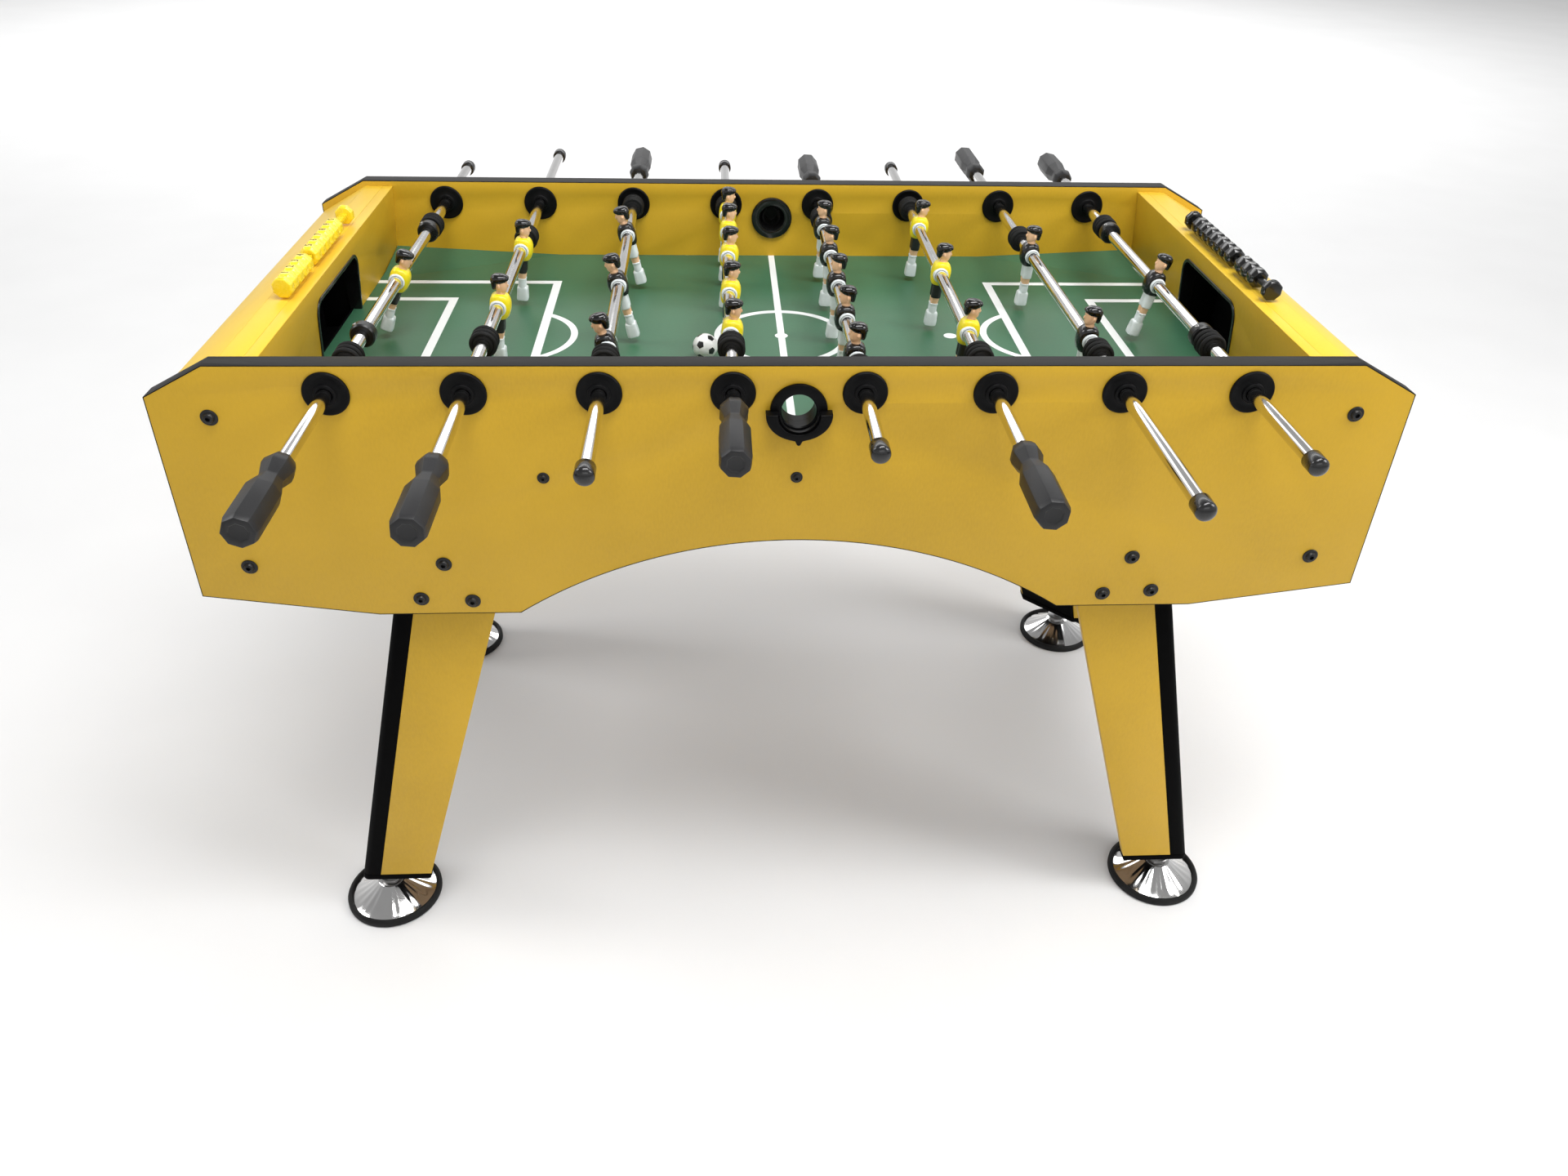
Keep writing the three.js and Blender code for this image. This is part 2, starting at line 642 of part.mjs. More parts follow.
// The left counter parks four beads at its near bracket, the right one parks seven at its far end.
const leftParked = counterLow + bracketDepth + beadSpace;
const rightParked = counterHigh - bracketDepth - parkedSlack - 7 * beadPitch;
const counterX = goalWallX + counterFromGoalWall;
const counterHeight = ledgeHeight + fitGap + beadDiameter / 2 + beadLift;
const counters = [
  {
    end: 'left',
    x: -counterX,
    team: 'yellow',
    parked: [leftParked, 4],
    moving: [leftParked + 4 * beadPitch + beadGap, 6],
  },
  {
    end: 'right',
    x: counterX,
    team: 'black',
    parked: [rightParked, 7],
    moving: [rightParked - beadGap - 3 * beadPitch, 3],
  },
];
for (const counter of counters) {
  const rail = place(`${counter.end}_counter_rail`, counterRail(...counter.parked), teamPlastic(counter.team));
  rail.position.set(counter.x, 0, counterHeight);
  const row = slidingBeads(...counter.moving);
  const beads = place(`${counter.end}_counter_beads`, row, teamPlastic(counter.team));
  beads.position.set(counter.x, 0, counterHeight);
}

rods.forEach((rod, index) => {
  const name = `rod_${index + 1}`;
  const axle = new THREE.Group();
  axle.position.set(rodX(index), 0, rodHeight);
  table.add(axle);
  place(`${name}_tube`, rodTube(rod), chromedSteel(), axle);
  const swung = new THREE.Group();
  swung.rotation.y = THREE.MathUtils.degToRad(rod.swing);
  axle.add(swung);
  place(`${name}_grip`, grip(rod), greyGrip(), swung);
  rod.men.forEach((share, number) => {
    const player = place(`${name}_man_${number + 1}`, man(), teamPlastic(rod.team), swung);
    player.position.y = share * rodReach;
    player.rotation.z = rod.team === 'yellow' ? 0 : Math.PI;
  });
});

const ball = place('ball', new THREE.IcosahedronGeometry(ballDiameter / 2, 2), whiteBall());
ball.position.set(ballX, ballY, pitchHeight + ballDiameter / 2 + fitGap);

export default table;
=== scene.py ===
import json
import math

import bmesh
import bpy
from mathutils import Matrix, Vector


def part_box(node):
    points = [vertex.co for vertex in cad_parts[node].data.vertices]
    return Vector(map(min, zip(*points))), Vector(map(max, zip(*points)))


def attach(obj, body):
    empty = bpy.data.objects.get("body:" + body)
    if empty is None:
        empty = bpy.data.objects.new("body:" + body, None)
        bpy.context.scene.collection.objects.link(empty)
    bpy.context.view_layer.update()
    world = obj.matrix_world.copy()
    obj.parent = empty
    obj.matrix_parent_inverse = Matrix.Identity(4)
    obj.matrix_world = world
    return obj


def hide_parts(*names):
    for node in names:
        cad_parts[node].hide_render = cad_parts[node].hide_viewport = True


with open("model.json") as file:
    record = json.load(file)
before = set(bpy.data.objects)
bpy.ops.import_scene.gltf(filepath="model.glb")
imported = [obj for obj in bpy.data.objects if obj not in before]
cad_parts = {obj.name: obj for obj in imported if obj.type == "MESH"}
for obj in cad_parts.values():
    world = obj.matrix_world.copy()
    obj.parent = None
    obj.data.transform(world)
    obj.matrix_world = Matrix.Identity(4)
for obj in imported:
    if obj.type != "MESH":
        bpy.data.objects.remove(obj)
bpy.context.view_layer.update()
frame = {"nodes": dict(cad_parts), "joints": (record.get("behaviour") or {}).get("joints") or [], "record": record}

# ---- Side panels --------------------------------------------------------------------------------------
# Two boards of yellow laminate on fibreboard, routed to one outline with an arch in the middle. Their rims
# are closed by an ironed-on edging strip, black on the cut corners, with painted light making it dark grey
# along the level top.
panel_low, panel_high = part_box("near_side_panel")
panel_top = panel_high.z
panel_bottom = panel_low.z
panel_outer = 0.355
panel_thickness = 0.024
panel_inner = panel_outer - panel_thickness
panel_corners = [(0.631, panel_top), (0.700, panel_top - 0.036), (panel_high.x, panel_top - 0.296)]
panel_flat = (0.503, 0.333)
arch_rise = 0.102
arch_steps = 64
edging_thickness = 0.001
edging_proud = 0.0001
panel_edge = 0.0003
edging_edge = 0.0002
cup_hole_radius = 0.0245
rod_hole_radius = 0.012
weld_distance = 1e-6
across = Matrix.Rotation(math.radians(90), 4, "X")
rod_count = 8
rod_places = {j["child"]: Vector(j["pos_m"]) for j in frame["joints"] if j["name"].endswith("_spin")}
rod_places = [rod_places[f"rod_{n}_players"] for n in range(1, rod_count + 1)]
rod_height = rod_places[0].z
cup_height = panel_top - 0.053


class Sum:
    """A value in a finish, so that sums on it are written as expressions."""

    def __init__(self, finish, socket):
        self.finish = finish
        self.socket = socket

    def maths(self, operation, *values):
        return self.finish.node("ShaderNodeMath", {"operation": operation}, dict(enumerate(values)))

    def out(self, index):
        return Sum(self.finish, self.socket.node.outputs[index])

    def __add__(self, other):
        return self.maths("ADD", self, other)

    __radd__ = __add__

    def __sub__(self, other):
        return self.maths("SUBTRACT", self, other)

    def __mul__(self, other):
        return self.maths("MULTIPLY", self, other)

    def __gt__(self, other):
        return self.maths("GREATER_THAN", self, other)

    def __lt__(self, other):
        return self.maths("LESS_THAN", self, other)

    def __abs__(self):
        return self.maths("ABSOLUTE", self)

    def __pow__(self, other):
        return self.maths("POWER", self, other)

    def __or__(self, other):
        return self.maths("MAXIMUM", self, other)

    def __and__(self, other):
        return self.maths("MINIMUM", self, other)


class Finish:
    """A material built from nodes."""

    def __init__(self, name):
        self.material = bpy.data.materials.new(name)
        self.material.use_nodes = True
        self.nodes = self.material.node_tree.nodes
        self.shader = self.nodes["Principled BSDF"]

    def node(self, kind, settings=None, sockets=None, output=0):
        node = self.nodes.new(kind)
        for name, setting in (settings or {}).items():
            setattr(node, name, setting)
        for name, value in (sockets or {}).items():
            self.join(node.inputs[name], value)
        return Sum(self, node.outputs[output])

    def join(self, socket, value):
        if isinstance(value, Sum):
            self.material.node_tree.links.new(value.socket, socket)
        elif isinstance(value, tuple) and socket.type == "RGBA":
            socket.default_value = (*value, 1)
        else:
            socket.default_value = value

    def spot(self):
        """Where a point lies in the object's own coordinates."""
        return self.node("ShaderNodeTexCoord", output=3)

    def noise(self, scale, detail, stretch=(1, 1, 1)):
        place = self.node("ShaderNodeMapping", None, {"Vector": self.spot(), "Scale": stretch})
        return self.node("ShaderNodeTexNoise", None, {"Vector": place, "Scale": scale, "Detail": detail})

    def mixed(self, share, first, second):
        return self.node("ShaderNodeMix", {"data_type": "RGBA"}, {0: share, 6: first, 7: second}, 2)

    def ramp(self, value, *stops):
        """Colours spread over a value, from the first stop to the last."""
        shades = self.node("ShaderNodeValToRGB", None, {"Fac": value})
        elements = shades.socket.node.color_ramp.elements
        for place, shade in stops[1:-1]:
            elements.new(place).color = (*shade, 1)
        for element, (place, shade) in zip((elements[0], elements[-1]), (stops[0], stops[-1])):
            element.position = place
            element.color = (*shade, 1)
        return shades

    def bump(self, height, depth):
        return self.node("ShaderNodeBump", None, {"Height": height, "Distance": depth})

    def coat(self, **sockets):
        """Sets the shader's inputs by name, and gives the finished material."""
        for name, value in sockets.items():
            self.join(self.shader.inputs[name.replace("_", " ")], value)
        return self.material


def shaded(colour, share):
    return tuple(channel * share for channel in colour)


def laminate(name, colour, roughness=0.42):
    """Melamine laminate: cloudy print, fine fibres showing through, and a faint orange peel."""
    finish = Finish(name)
    clouds = finish.noise(5, 4)
    fibres = finish.noise(420, 2, (1, 1, 0.35))
    tone = clouds * 0.7 + fibres * 0.3
    base = finish.ramp(tone, (0.3, shaded(colour, 0.9)), (0.5, colour), (0.72, shaded(colour, 1.07)))
    rubbed = finish.noise(38, 5, (1, 0.4, 1))
    peel = finish.noise(900, 2)
    return finish.coat(
        Base_Color=base,
        Roughness=roughness - 0.06 + rubbed * 0.14,
        Normal=finish.bump(peel * 0.7 + fibres * 0.3, 0.00005),
        Specular_IOR_Level=0.35,
    )


def edging(name, lit_top_colour, side_colour):
    """Edging strip: black, with scuffs; where it lies level, painted light turns it dark grey for the lit top."""
    finish = Finish(name)
    facing = finish.node("ShaderNodeNewGeometry", output=1)
    # Painted light: faces that lie level get the lighter grey for the overhead light on the top; sloping faces
    # keep the strip's own black.
    level = finish.node("ShaderNodeSeparateXYZ", None, {0: facing}, 2) > 0.97
    scuffs = finish.noise(160, 4, (0.2, 1, 1))
    grey = finish.ramp(scuffs, (0.35, shaded(lit_top_colour, 0.85)), (0.7, shaded(lit_top_colour, 1.25)))
    return finish.coat(
        Base_Color=finish.mixed(level, side_colour, grey),
        Roughness=0.4 + scuffs * 0.2,
        Normal=finish.bump(scuffs, 0.00005),
        Specular_IOR_Level=0.16,
    )


def shown(name, data):
    """A new object, linked to the scene."""
    made = bpy.data.objects.new(name, data)
    bpy.context.scene.collection.objects.link(made)
    return made


def piece(name, mesh, materials, body, slot, *replaced):
    """A finished piece: it rides on its body and stands for the nodes it replaces."""
    made = shown(name, mesh)
    for material in materials:
        mesh.materials.append(material)
    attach(made, body)
    if replaced:
        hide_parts(*replaced)


def softened(mesh, angle=32):
    """Smooth shading, apart from edges sharper than the angle."""
    mesh.shade_smooth()
    mesh.set_sharp_from_angle(angle=math.radians(angle))
    return mesh


def ring(centre, radius, steps=48):
    """The points of a circle, or of a regular shape with few steps."""
    turns = [math.tau * i / steps for i in range(steps)]
    return [(centre[0] + radius * math.cos(t), centre[1] + radius * math.sin(t)) for t in turns]


def inset(outline, distance):
    """A closed outline moved inwards; its points run anticlockwise."""
    moved = []
    for i, here in enumerate(outline):
        before = (Vector(here) - Vector(outline[i - 1])).normalized()
        after = (Vector(outline[(i + 1) % len(outline)]) - Vector(here)).normalized()
        inwards = Vector((-before.y - after.y, before.x + after.x))
        reach = distance / max(0.2, 0.5 * inwards.length_squared / max(inwards.length, 1e-9))
        moved.append(tuple(Vector(here) + inwards.normalized() * reach))
    return moved


def arc(radius, start, end, steps):
    """Points along part of a circle about the origin, between two turns in degrees."""
    turns = [math.radians(start + (end - start) * i / steps) for i in range(steps + 1)]
    return [(radius * math.cos(t), radius * math.sin(t)) for t in turns]


def drawn_mesh(curve):
    """The mesh that a curve or a text draws."""
    drawn = shown("drawn", curve)
    mesh = bpy.data.meshes.new_from_object(drawn.evaluated_get(bpy.context.evaluated_depsgraph_get()))
    bpy.data.objects.remove(drawn)
    return mesh


def board(outlines, thickness, edge, place):
    """A board cut to the first outline with holes along the others, its edges eased."""
    curve = bpy.data.curves.new("outline", "CURVE")
    curve.dimensions = "2D"
    curve.fill_mode = "BOTH"
    curve.bevel_depth = edge
    curve.bevel_resolution = 2
    curve.offset = -edge
    curve.extrude = thickness / 2 - edge
    for outline in outlines:
        spline = curve.splines.new("POLY")
        spline.points.add(len(outline) - 1)
        for point, (x, y) in zip(spline.points, outline):
            point.co = (x, y, 0, 1)
        spline.use_cyclic_u = True
    mesh = drawn_mesh(curve)
    shape = bmesh.new()
    shape.from_mesh(mesh)
    bmesh.ops.remove_doubles(shape, verts=shape.verts, dist=weld_distance)
    bmesh.ops.recalc_face_normals(shape, faces=shape.faces)
    shape.to_mesh(mesh)
    shape.free()
    mesh.transform(place)
    return softened(mesh)


def panel_outline():
    """The outline shared by both side panels, anticlockwise: the arch and the cut corners."""
    flat_outer, flat_inner = panel_flat
    radius = (flat_inner**2 + arch_rise**2) / (2 * arch_rise)
    centre = panel_bottom + arch_rise - radius
    sweep = math.asin(flat_inner / radius)
    turns = [sweep - 2 * sweep * i / arch_steps for i in range(arch_steps + 1)]
    arch = [(radius * math.sin(t), centre + radius * math.cos(t)) for t in turns]
    right = [*panel_corners, (flat_outer, panel_bottom)]
    left = [(-x, z) for x, z in reversed(right)]
    return list(reversed(right + arch + left))


yellow = (0.60, 0.362, 0.020)
yellow_laminate = laminate("yellow_laminate", yellow)
# The first colour is painted light, a lighter grey for the lit top of the strip; the second is the strip's own
# black.
panel_edging = edging("panel_edging", (0.015, 0.0145, 0.014), (0.0025, 0.0025, 0.0025))
outline = panel_outline()
face = inset(outline, edging_thickness)
holes = [ring((p.x, p.z), rod_hole_radius) for p in rod_places] + [ring((0, cup_height), cup_hole_radius)]
for side_name, side in (("near", -1), ("far", 1)):
    middle = Matrix.Translation((0, side * (panel_outer + panel_inner) / 2, 0)) @ across
    sheet = board([face, *holes], panel_thickness, panel_edge, middle)
    piece(f"{side_name}_panel_board", sheet, [yellow_laminate], "table", "yellow_laminate",
          f"{side_name}_side_panel")
    strip = board([outline, face], panel_thickness + 2 * edging_proud, edging_edge, middle)
    piece(f"{side_name}_panel_edging", strip, [panel_edging], "table", "black_plastic")

# ---- Rod bearings -------------------------------------------------------------------------------------
# A two-part nylon bush in each hole: a shallow dished flange on either face of the panel, with a raised
# hub that the rod slides through. The two parts screw together through the panel.
bearing_radius = 0.025
hub_radius = 0.0122
hub_reaches = {"outer": 0.0065, "inner": 0.0039}
bearing_bore = 0.0084
bush_gap = 0.0002
round_steps = 56
along_far = Matrix.Rotation(math.radians(-90), 4, "X")


def moulded(name, colour, roughness, grain=700, depth=0.00004, shine=0.32):
    """Moulded plastic: cloudy tone, dust in the grain, and the mould's fine texture."""
    finish = Finish(name)
    clouds = finish.noise(45, 4)
    texture = finish.noise(grain, 2)
    base = finish.ramp(clouds * 0.75 + texture * 0.25, (0.3, shaded(colour, 0.75)),
                       (0.7, shaded(colour, 1.3)))
    return finish.coat(
        Base_Color=base,
        Roughness=roughness - 0.05 + clouds * 0.12,
        Normal=finish.bump(texture, depth),
        Specular_IOR_Level=shine,
    )


def turned(shape, profile, steps, place, material=0):
    """Adds a turned solid to a shape: (radius, height) points about the place's Z axis."""
    rows = []
    for radius, height in profile:
        if radius == 0:
            rows.append([shape.verts.new(place @ Vector((0, 0, height)))])
        else:
            rows.append([shape.verts.new(place @ Vector((*p, height))) for p in ring((0, 0), radius, steps)])
    for low, high in zip(rows, rows[1:]):
        for i in range(steps):
            corners = [row[k % len(row)] for row, k in ((low, i), (low, i + 1), (high, i + 1), (high, i))]
            corners = list(dict.fromkeys(corners))
            if len(corners) > 2:
                shape.faces.new(corners).material_index = material
    return rows


def finished(shape, angle=32):
    """The shape as a mesh, its doubles merged and its faces pointing outwards."""
    bmesh.ops.remove_doubles(shape, verts=shape.verts, dist=weld_distance)
    bmesh.ops.recalc_face_normals(shape, faces=shape.faces)
    mesh = bpy.data.meshes.new("piece")
    shape.to_mesh(mesh)
    shape.free()
    return softened(mesh, angle)


def lathed(profile, steps, place, angle=32):
    """One turned solid as a mesh."""
    shape = bmesh.new()
    turned(shape, profile, steps, place)
    return finished(shape, angle)


black_nylon = moulded("black_nylon", (0.0035, 0.0035, 0.0038), 0.42, shine=0.1)


def bush_profile(hub_reach):
    """Half of a bush, turned about the rod: its sleeve, hub and dished flange."""
    return [
        (bearing_bore, -panel_thickness / 2),
        (bearing_bore, hub_reach - 0.0005),
        (bearing_bore + 0.0005, hub_reach),
        (hub_radius - 0.0006, hub_reach),
        (hub_radius, hub_reach - 0.0006),
        (hub_radius + 0.0003, 0.0031),
        (hub_radius + 0.0012, 0.0027),
        (bearing_radius - 0.006, 0.0022),
        (bearing_radius - 0.0035, 0.0034),
        (bearing_radius - 0.0012, 0.0034),
        (bearing_radius, 0.0022),
        (bearing_radius, 0),
        (rod_hole_radius - bush_gap, 0),
        (rod_hole_radius - bush_gap, -panel_thickness / 2),
        (bearing_bore, -panel_thickness / 2),
    ]


for side_name, side in (("near", -1), ("far", 1)):
    for number, spot in enumerate(rod_places, 1):
        shape = bmesh.new()
        for face_name, face_y in (("outer", panel_outer), ("inner", panel_inner)):
            outwards = side if face_name == "outer" else -side
            facing = along_far if outwards > 0 else across
            place = Matrix.Translation((spot.x, side * face_y, spot.z)) @ facing
            turned(shape, bush_profile(hub_reaches[face_name]), round_steps, place)
        piece(f"{side_name}_bearing_{number}", finished(shape), [black_nylon], "table", "black_plastic")

# ---- Panel bolts --------------------------------------------------------------------------------------
# Black button-head bolts on pressed washers hold the end panels and the legs. Shorter ones hold the pitch's
# battens. Each head has a hexagonal socket.
bolt_radius = 0.0094
small_bolt_radius = 0.007
bolt_spots = [(0.637, 0.820), (0.641, 0.626), (0.416, 0.627), (0.450, 0.577), (0.389, 0.573)]
batten_bolt_spots = [(-0.288, 0.743), (0, 0.742), (0.288, 0.743)]
bolt_profile = [(0, 0), (1, 0), (1, 0.1), (0.93, 0.17), (0.66, 0.2), (0.62, 0.36), (0.52, 0.5), (0.36, 0.56)]
bolt_steps = 28
bolt_proud = 0.0001
bolt_twist = 2.4
socket_radius = 0.3
socket_floor = 0.2


def bolt_head():
    """A bolt head on its washer, of unit radius, that stands up along Z, with a hexagonal socket."""
    shape = bmesh.new()
    rim = turned(shape, bolt_profile, bolt_steps, Matrix.Identity(4))[-1]
    hexagon = ring((0, 0), socket_radius, 6)
    socket, floor = [[shape.verts.new((*p, height)) for p in hexagon]
                     for height in (bolt_profile[-1][1], socket_floor)]
    for loop in (rim, socket, floor):
        loop.sort(key=lambda v: math.atan2(v.co.y, v.co.x))
    pairs = [(loop[i - 1], loop[i]) for loop in (rim, socket) for i in range(len(loop))]
    bmesh.ops.bridge_loops(shape, edges=[shape.edges.get(pair) or shape.edges.new(pair) for pair in pairs])
    for i in range(6):
        shape.faces.new((socket[i - 1], socket[i], floor[i], floor[i - 1]))
    shape.faces.new(floor)
    return finished(shape, 25)


class Tree:
    """A geometry node tree whose inputs are named; its nodes are added by one method."""

    def __init__(self, name, inputs):
        self.group = bpy.data.node_groups.new(name, "GeometryNodeTree")
        self.sockets = {}
        for socket_name, kind in {"Geometry": "NodeSocketGeometry", **inputs}.items():
            socket = self.group.interface.new_socket(socket_name, in_out="INPUT", socket_type=kind)
            self.sockets[socket_name] = socket.identifier
        self.group.interface.new_socket("Geometry", in_out="OUTPUT", socket_type="NodeSocketGeometry")
        self.start = self.group.nodes.new("NodeGroupInput")

    def given(self, name):
        return self.start.outputs[name]

    def node(self, kind, settings=None, sockets=None, output=0):
        node = self.group.nodes.new(kind)
        for name, setting in (settings or {}).items():
            setattr(node, name, setting)
        for name, value in (sockets or {}).items():
            if isinstance(value, bpy.types.NodeSocket):
                self.group.links.new(value, node.inputs[name])
            else:
                node.inputs[name].default_value = value
        return node.outputs[output]

    def end(self, geometry, material):
        real = self.node("GeometryNodeRealizeInstances", None, {0: geometry})
        coated = self.node("GeometryNodeSetMaterial", None, {"Geometry": real, "Material": material})
        self.group.links.new(coated, self.group.nodes.new("NodeGroupOutput").inputs[0])

    def grown(self, points, **values):
        """The mesh that the tree grows on some points, with its inputs set by name."""
        seed = bpy.data.meshes.new("points")
        seed.from_pydata(points, [], [])
        host = shown("points", seed)
        modifier = host.modifiers.new("grown", "NODES")
        modifier.node_group = self.group
        for name, value in values.items():
            modifier[self.sockets[name]] = value
        graph = bpy.context.evaluated_depsgraph_get()
        mesh = bpy.data.meshes.new_from_object(host.evaluated_get(graph), depsgraph=graph)
        host.modifiers.remove(modifier)
        bpy.data.objects.remove(host)
        return mesh


def fastener_tree():
    """Puts a copy of one fastener on each point, turned to face along the rotation."""
    tree = Tree("fasteners", {"Fastener": "NodeSocketObject", "Radius": "NodeSocketFloat",
                              "Turn": "NodeSocketRotation", "Twist": "NodeSocketFloat",
                              "Material": "NodeSocketMaterial"})
    part = tree.node("GeometryNodeObjectInfo", None, {"Object": tree.given("Fastener")}, 4)
    index = tree.node("GeometryNodeInputIndex")
    angle = tree.node("ShaderNodeMath", {"operation": "MULTIPLY"}, {0: index, 1: tree.given("Twist")})
    spin = tree.node("FunctionNodeAxisAngleToRotation", None, {"Axis": (0, 0, 1), "Angle": angle})
    turn = tree.node("FunctionNodeRotateRotation", {"rotation_space": "LOCAL"},
                     {"Rotation": tree.given("Turn"), "Rotate By": spin})
    copies = tree.node("GeometryNodeInstanceOnPoints", None,
                       {"Points": tree.given("Geometry"), "Instance": part, "Rotation": turn,
                        "Scale": tree.given("Radius")})
    tree.end(copies, tree.given("Material"))
    return tree


fasteners = fastener_tree()
bolt_head_part = shown("bolt_head_part", bolt_head())
black_steel = moulded("blackened_steel", (0.010, 0.010, 0.0105), 0.33, 1500, 0.00002)
for side_name, side in (("near", -1), ("far", 1)):
    turn = (math.radians(-90 * side), 0, 0)
    on_face = side * (panel_outer + bolt_proud)
    large = [(s * x, on_face, z) for x, z in bolt_spots for s in (-1, 1)]
    small = [(x, on_face, z) for x, z in batten_bolt_spots]
    settings = {"Fastener": bolt_head_part, "Turn": turn, "Twist": bolt_twist, "Material": black_steel}
    heads = softened(fasteners.grown(large, Radius=bolt_radius, **settings), 25)
    piece(f"{side_name}_panel_bolts", heads, [], "table", "black_plastic")
    heads = softened(fasteners.grown(small, Radius=small_bolt_radius, **settings), 25)
    piece(f"{side_name}_batten_bolts", heads, [], "table", "black_plastic")

# ---- Pitch --------------------------------------------------------------------------------------------
# A fibreboard sheet with the pitch printed on its laminate, raised in the four corners so that the ball
# rolls back. It rests on three battens, and below it shows bare board.
pitch = frame["nodes"]["pitch_board"]
pitch_height = panel_top - 0.114
line_width = 0.012
thin_line_width = 0.0095
centre_circle_radius = 0.0885
spot_radius = 0.009
penalty_spot_x = 0.237
large_area = (0.330, 0.205)
small_area = (0.473, 0.135)
arc_centre_x = 0.372
arc_radius = 0.0865
print_depth = 0.0005


def printed_pitch():
    """White lines on green laminate, mirrored about both middles, over a bare board."""
    finish = Finish("printed_pitch")
    split = finish.node("ShaderNodeSeparateXYZ", None, {0: finish.spot()})
    x = abs(split)
    y = abs(split.out(1))
    z = split.out(2)

    def near(value, target, width):
        return abs(value - target) < width / 2

    def distance(dx, dy):
        return (dx * dx + dy * dy) ** 0.5

    def area(corner):
        back = near(x, corner[0], line_width) & (y < corner[1] + line_width / 2)
        return back | (near(y, corner[1], line_width) & (x > corner[0] - line_width / 2))

    centre = near(x, 0, thin_line_width) | near(distance(x, y), centre_circle_radius, thin_line_width)
    spots = (distance(x, y) < spot_radius) | (distance(x - penalty_spot_x, y) < spot_radius)
    arc = near(distance(x - arc_centre_x, y), arc_radius, thin_line_width) & (x < large_area[0])
    lines = centre | spots | arc | area(large_area) | area(small_area)
    grass = finish.noise(9, 5)
    fibres = finish.noise(500, 2, (0.3, 1, 1))
    green = finish.ramp(grass * 0.7 + fibres * 0.3, (0.3, (0.030, 0.112, 0.056)),
                        (0.7, (0.044, 0.146, 0.078)))
    printed = finish.mixed(lines, green, (0.78, 0.80, 0.80))
    bare = finish.noise(600, 3, (1, 1, 4))
    raw = finish.ramp(bare, (0.3, (0.26, 0.165, 0.085)), (0.7, (0.38, 0.26, 0.15)))
    below = z < pitch_height - print_depth
    return finish.coat(
        Base_Color=finish.mixed(below, printed, raw),
        Roughness=0.4 + grass * 0.12 + below * 0.3,
        Normal=finish.bump(fibres, 0.00005),
    )


pitch.data.materials.clear()
pitch.data.materials.append(printed_pitch())

# ---- Goal ends ----------------------------------------------------------------------------------------
# At each end a goal wall leans in over the pitch. A ledge and a sloping roof board close the box behind it,
# all in the panels' laminate, painted a brighter yellow for the light on their tops. The mouth is cut through the
# wall.
goal_wall_x = 0.587
wall_lean = 0.010
end_board = 0.015
ledge_height = panel_top - 0.008
ledge_width = 0.0415
roof_end = (0.697, panel_top - 0.046)
end_gap = 0.0003
end_half_width = panel_inner - end_gap
mouth_half = 0.098
mouth_top = pitch_height + 0.082
mouth_corner = 0.020
mouth_steps = 10


def mouth_outline(grow=0.0):
    """The goal mouth: square below, rounded above."""
    half = mouth_half + grow
    across_corner = half - mouth_corner - grow
    up_corner = mouth_top - mouth_corner
    right = [(across_corner + x, up_corner + z) for x, z in arc(mouth_corner + grow, 0, 90, mouth_steps)]
    left = [(-x, z) for x, z in reversed(right)]
    return [(-half, pitch_height), (half, pitch_height), *right, *left]


def prism(rows, mirror, edge):
    """A bar between two rows of points, moved to its place, with its edges eased."""
    shape = bmesh.new()
    first, last = [[shape.verts.new(point) for point in row] for row in rows]
    shape.faces.new(first)
    shape.faces.new(list(reversed(last)))
    for i in range(len(first)):
        shape.faces.new((first[i - 1], last[i - 1], last[i], first[i]))
    shape.transform(mirror)
    return eased(finished(shape), edge)


def eased(mesh, width, angle=30):
    """Rounds a mesh's edges over."""
    shape = bmesh.new()
    shape.from_mesh(mesh)
    bmesh.ops.remove_doubles(shape, verts=shape.verts, dist=weld_distance)
    sharp = [e for e in shape.edges if len(e.link_faces) == 2 and e.calc_face_angle(0) > math.radians(angle)]
    bmesh.ops.bevel(shape, geom=sharp, offset=width, offset_type="OFFSET", segments=2, profile=0.5,
                    affect="EDGES", clamp_overlap=True)
    shape.to_mesh(mesh)
    shape.free()
    return softened(mesh)


# Painted light: the panels' laminate again, in a brighter yellow for the light that falls on the ledge, roof and
# wall strip.
lit_ledge_yellow = laminate("lit_ledge_laminate", (0.78, 0.51, 0.040), 0.38)
black_liner = moulded("black_liner", (0.006, 0.006, 0.006), 0.16, 900, 0.00002, 0.5)
lean_angle = math.atan2(wall_lean, ledge_height - pitch_height)
upright = Matrix(((0, 0, 1, 0), (1, 0, 0, 0), (0, 1, 0, 0), (0, 0, 0, 1)))
wall_foot = Vector((goal_wall_x + wall_lean, 0, pitch_height))
lean = (Matrix.Translation(wall_foot) @ Matrix.Rotation(-lean_angle, 4, "Y")
        @ Matrix.Translation((0, 0, -pitch_height)))
crease_x = goal_wall_x + ledge_width
under_ledge = ledge_height - end_board
wall_low = pitch_height + end_gap
strip_thickness = 0.001
wall_gap = 0.0001
wall_top = ledge_height - strip_thickness - wall_gap
mouth = mouth_outline()
wall_outline = [(-mouth_half, wall_low), *reversed(mouth[2:]), (mouth_half, wall_low),
                (end_half_width, wall_low), (end_half_width, wall_top), (-end_half_width, wall_top),
                (-end_half_width, wall_low)]
ledge_start = goal_wall_x + end_board + end_gap
wall_back = goal_wall_x + end_board
strip_low = ledge_height - strip_thickness
strip_section = [(goal_wall_x, strip_low), (wall_back, strip_low), (wall_back, ledge_height),
                 (goal_wall_x, ledge_height)]
ledge_section = [(ledge_start, under_ledge), (crease_x - end_board * 0.17, under_ledge),
                 (crease_x, ledge_height), (ledge_start, ledge_height)]
roof_section = [(crease_x - end_board * 0.16, under_ledge), (roof_end[0], roof_end[1] - end_board), roof_end,
                (crease_x + 0.0002, ledge_height - 0.0001)]

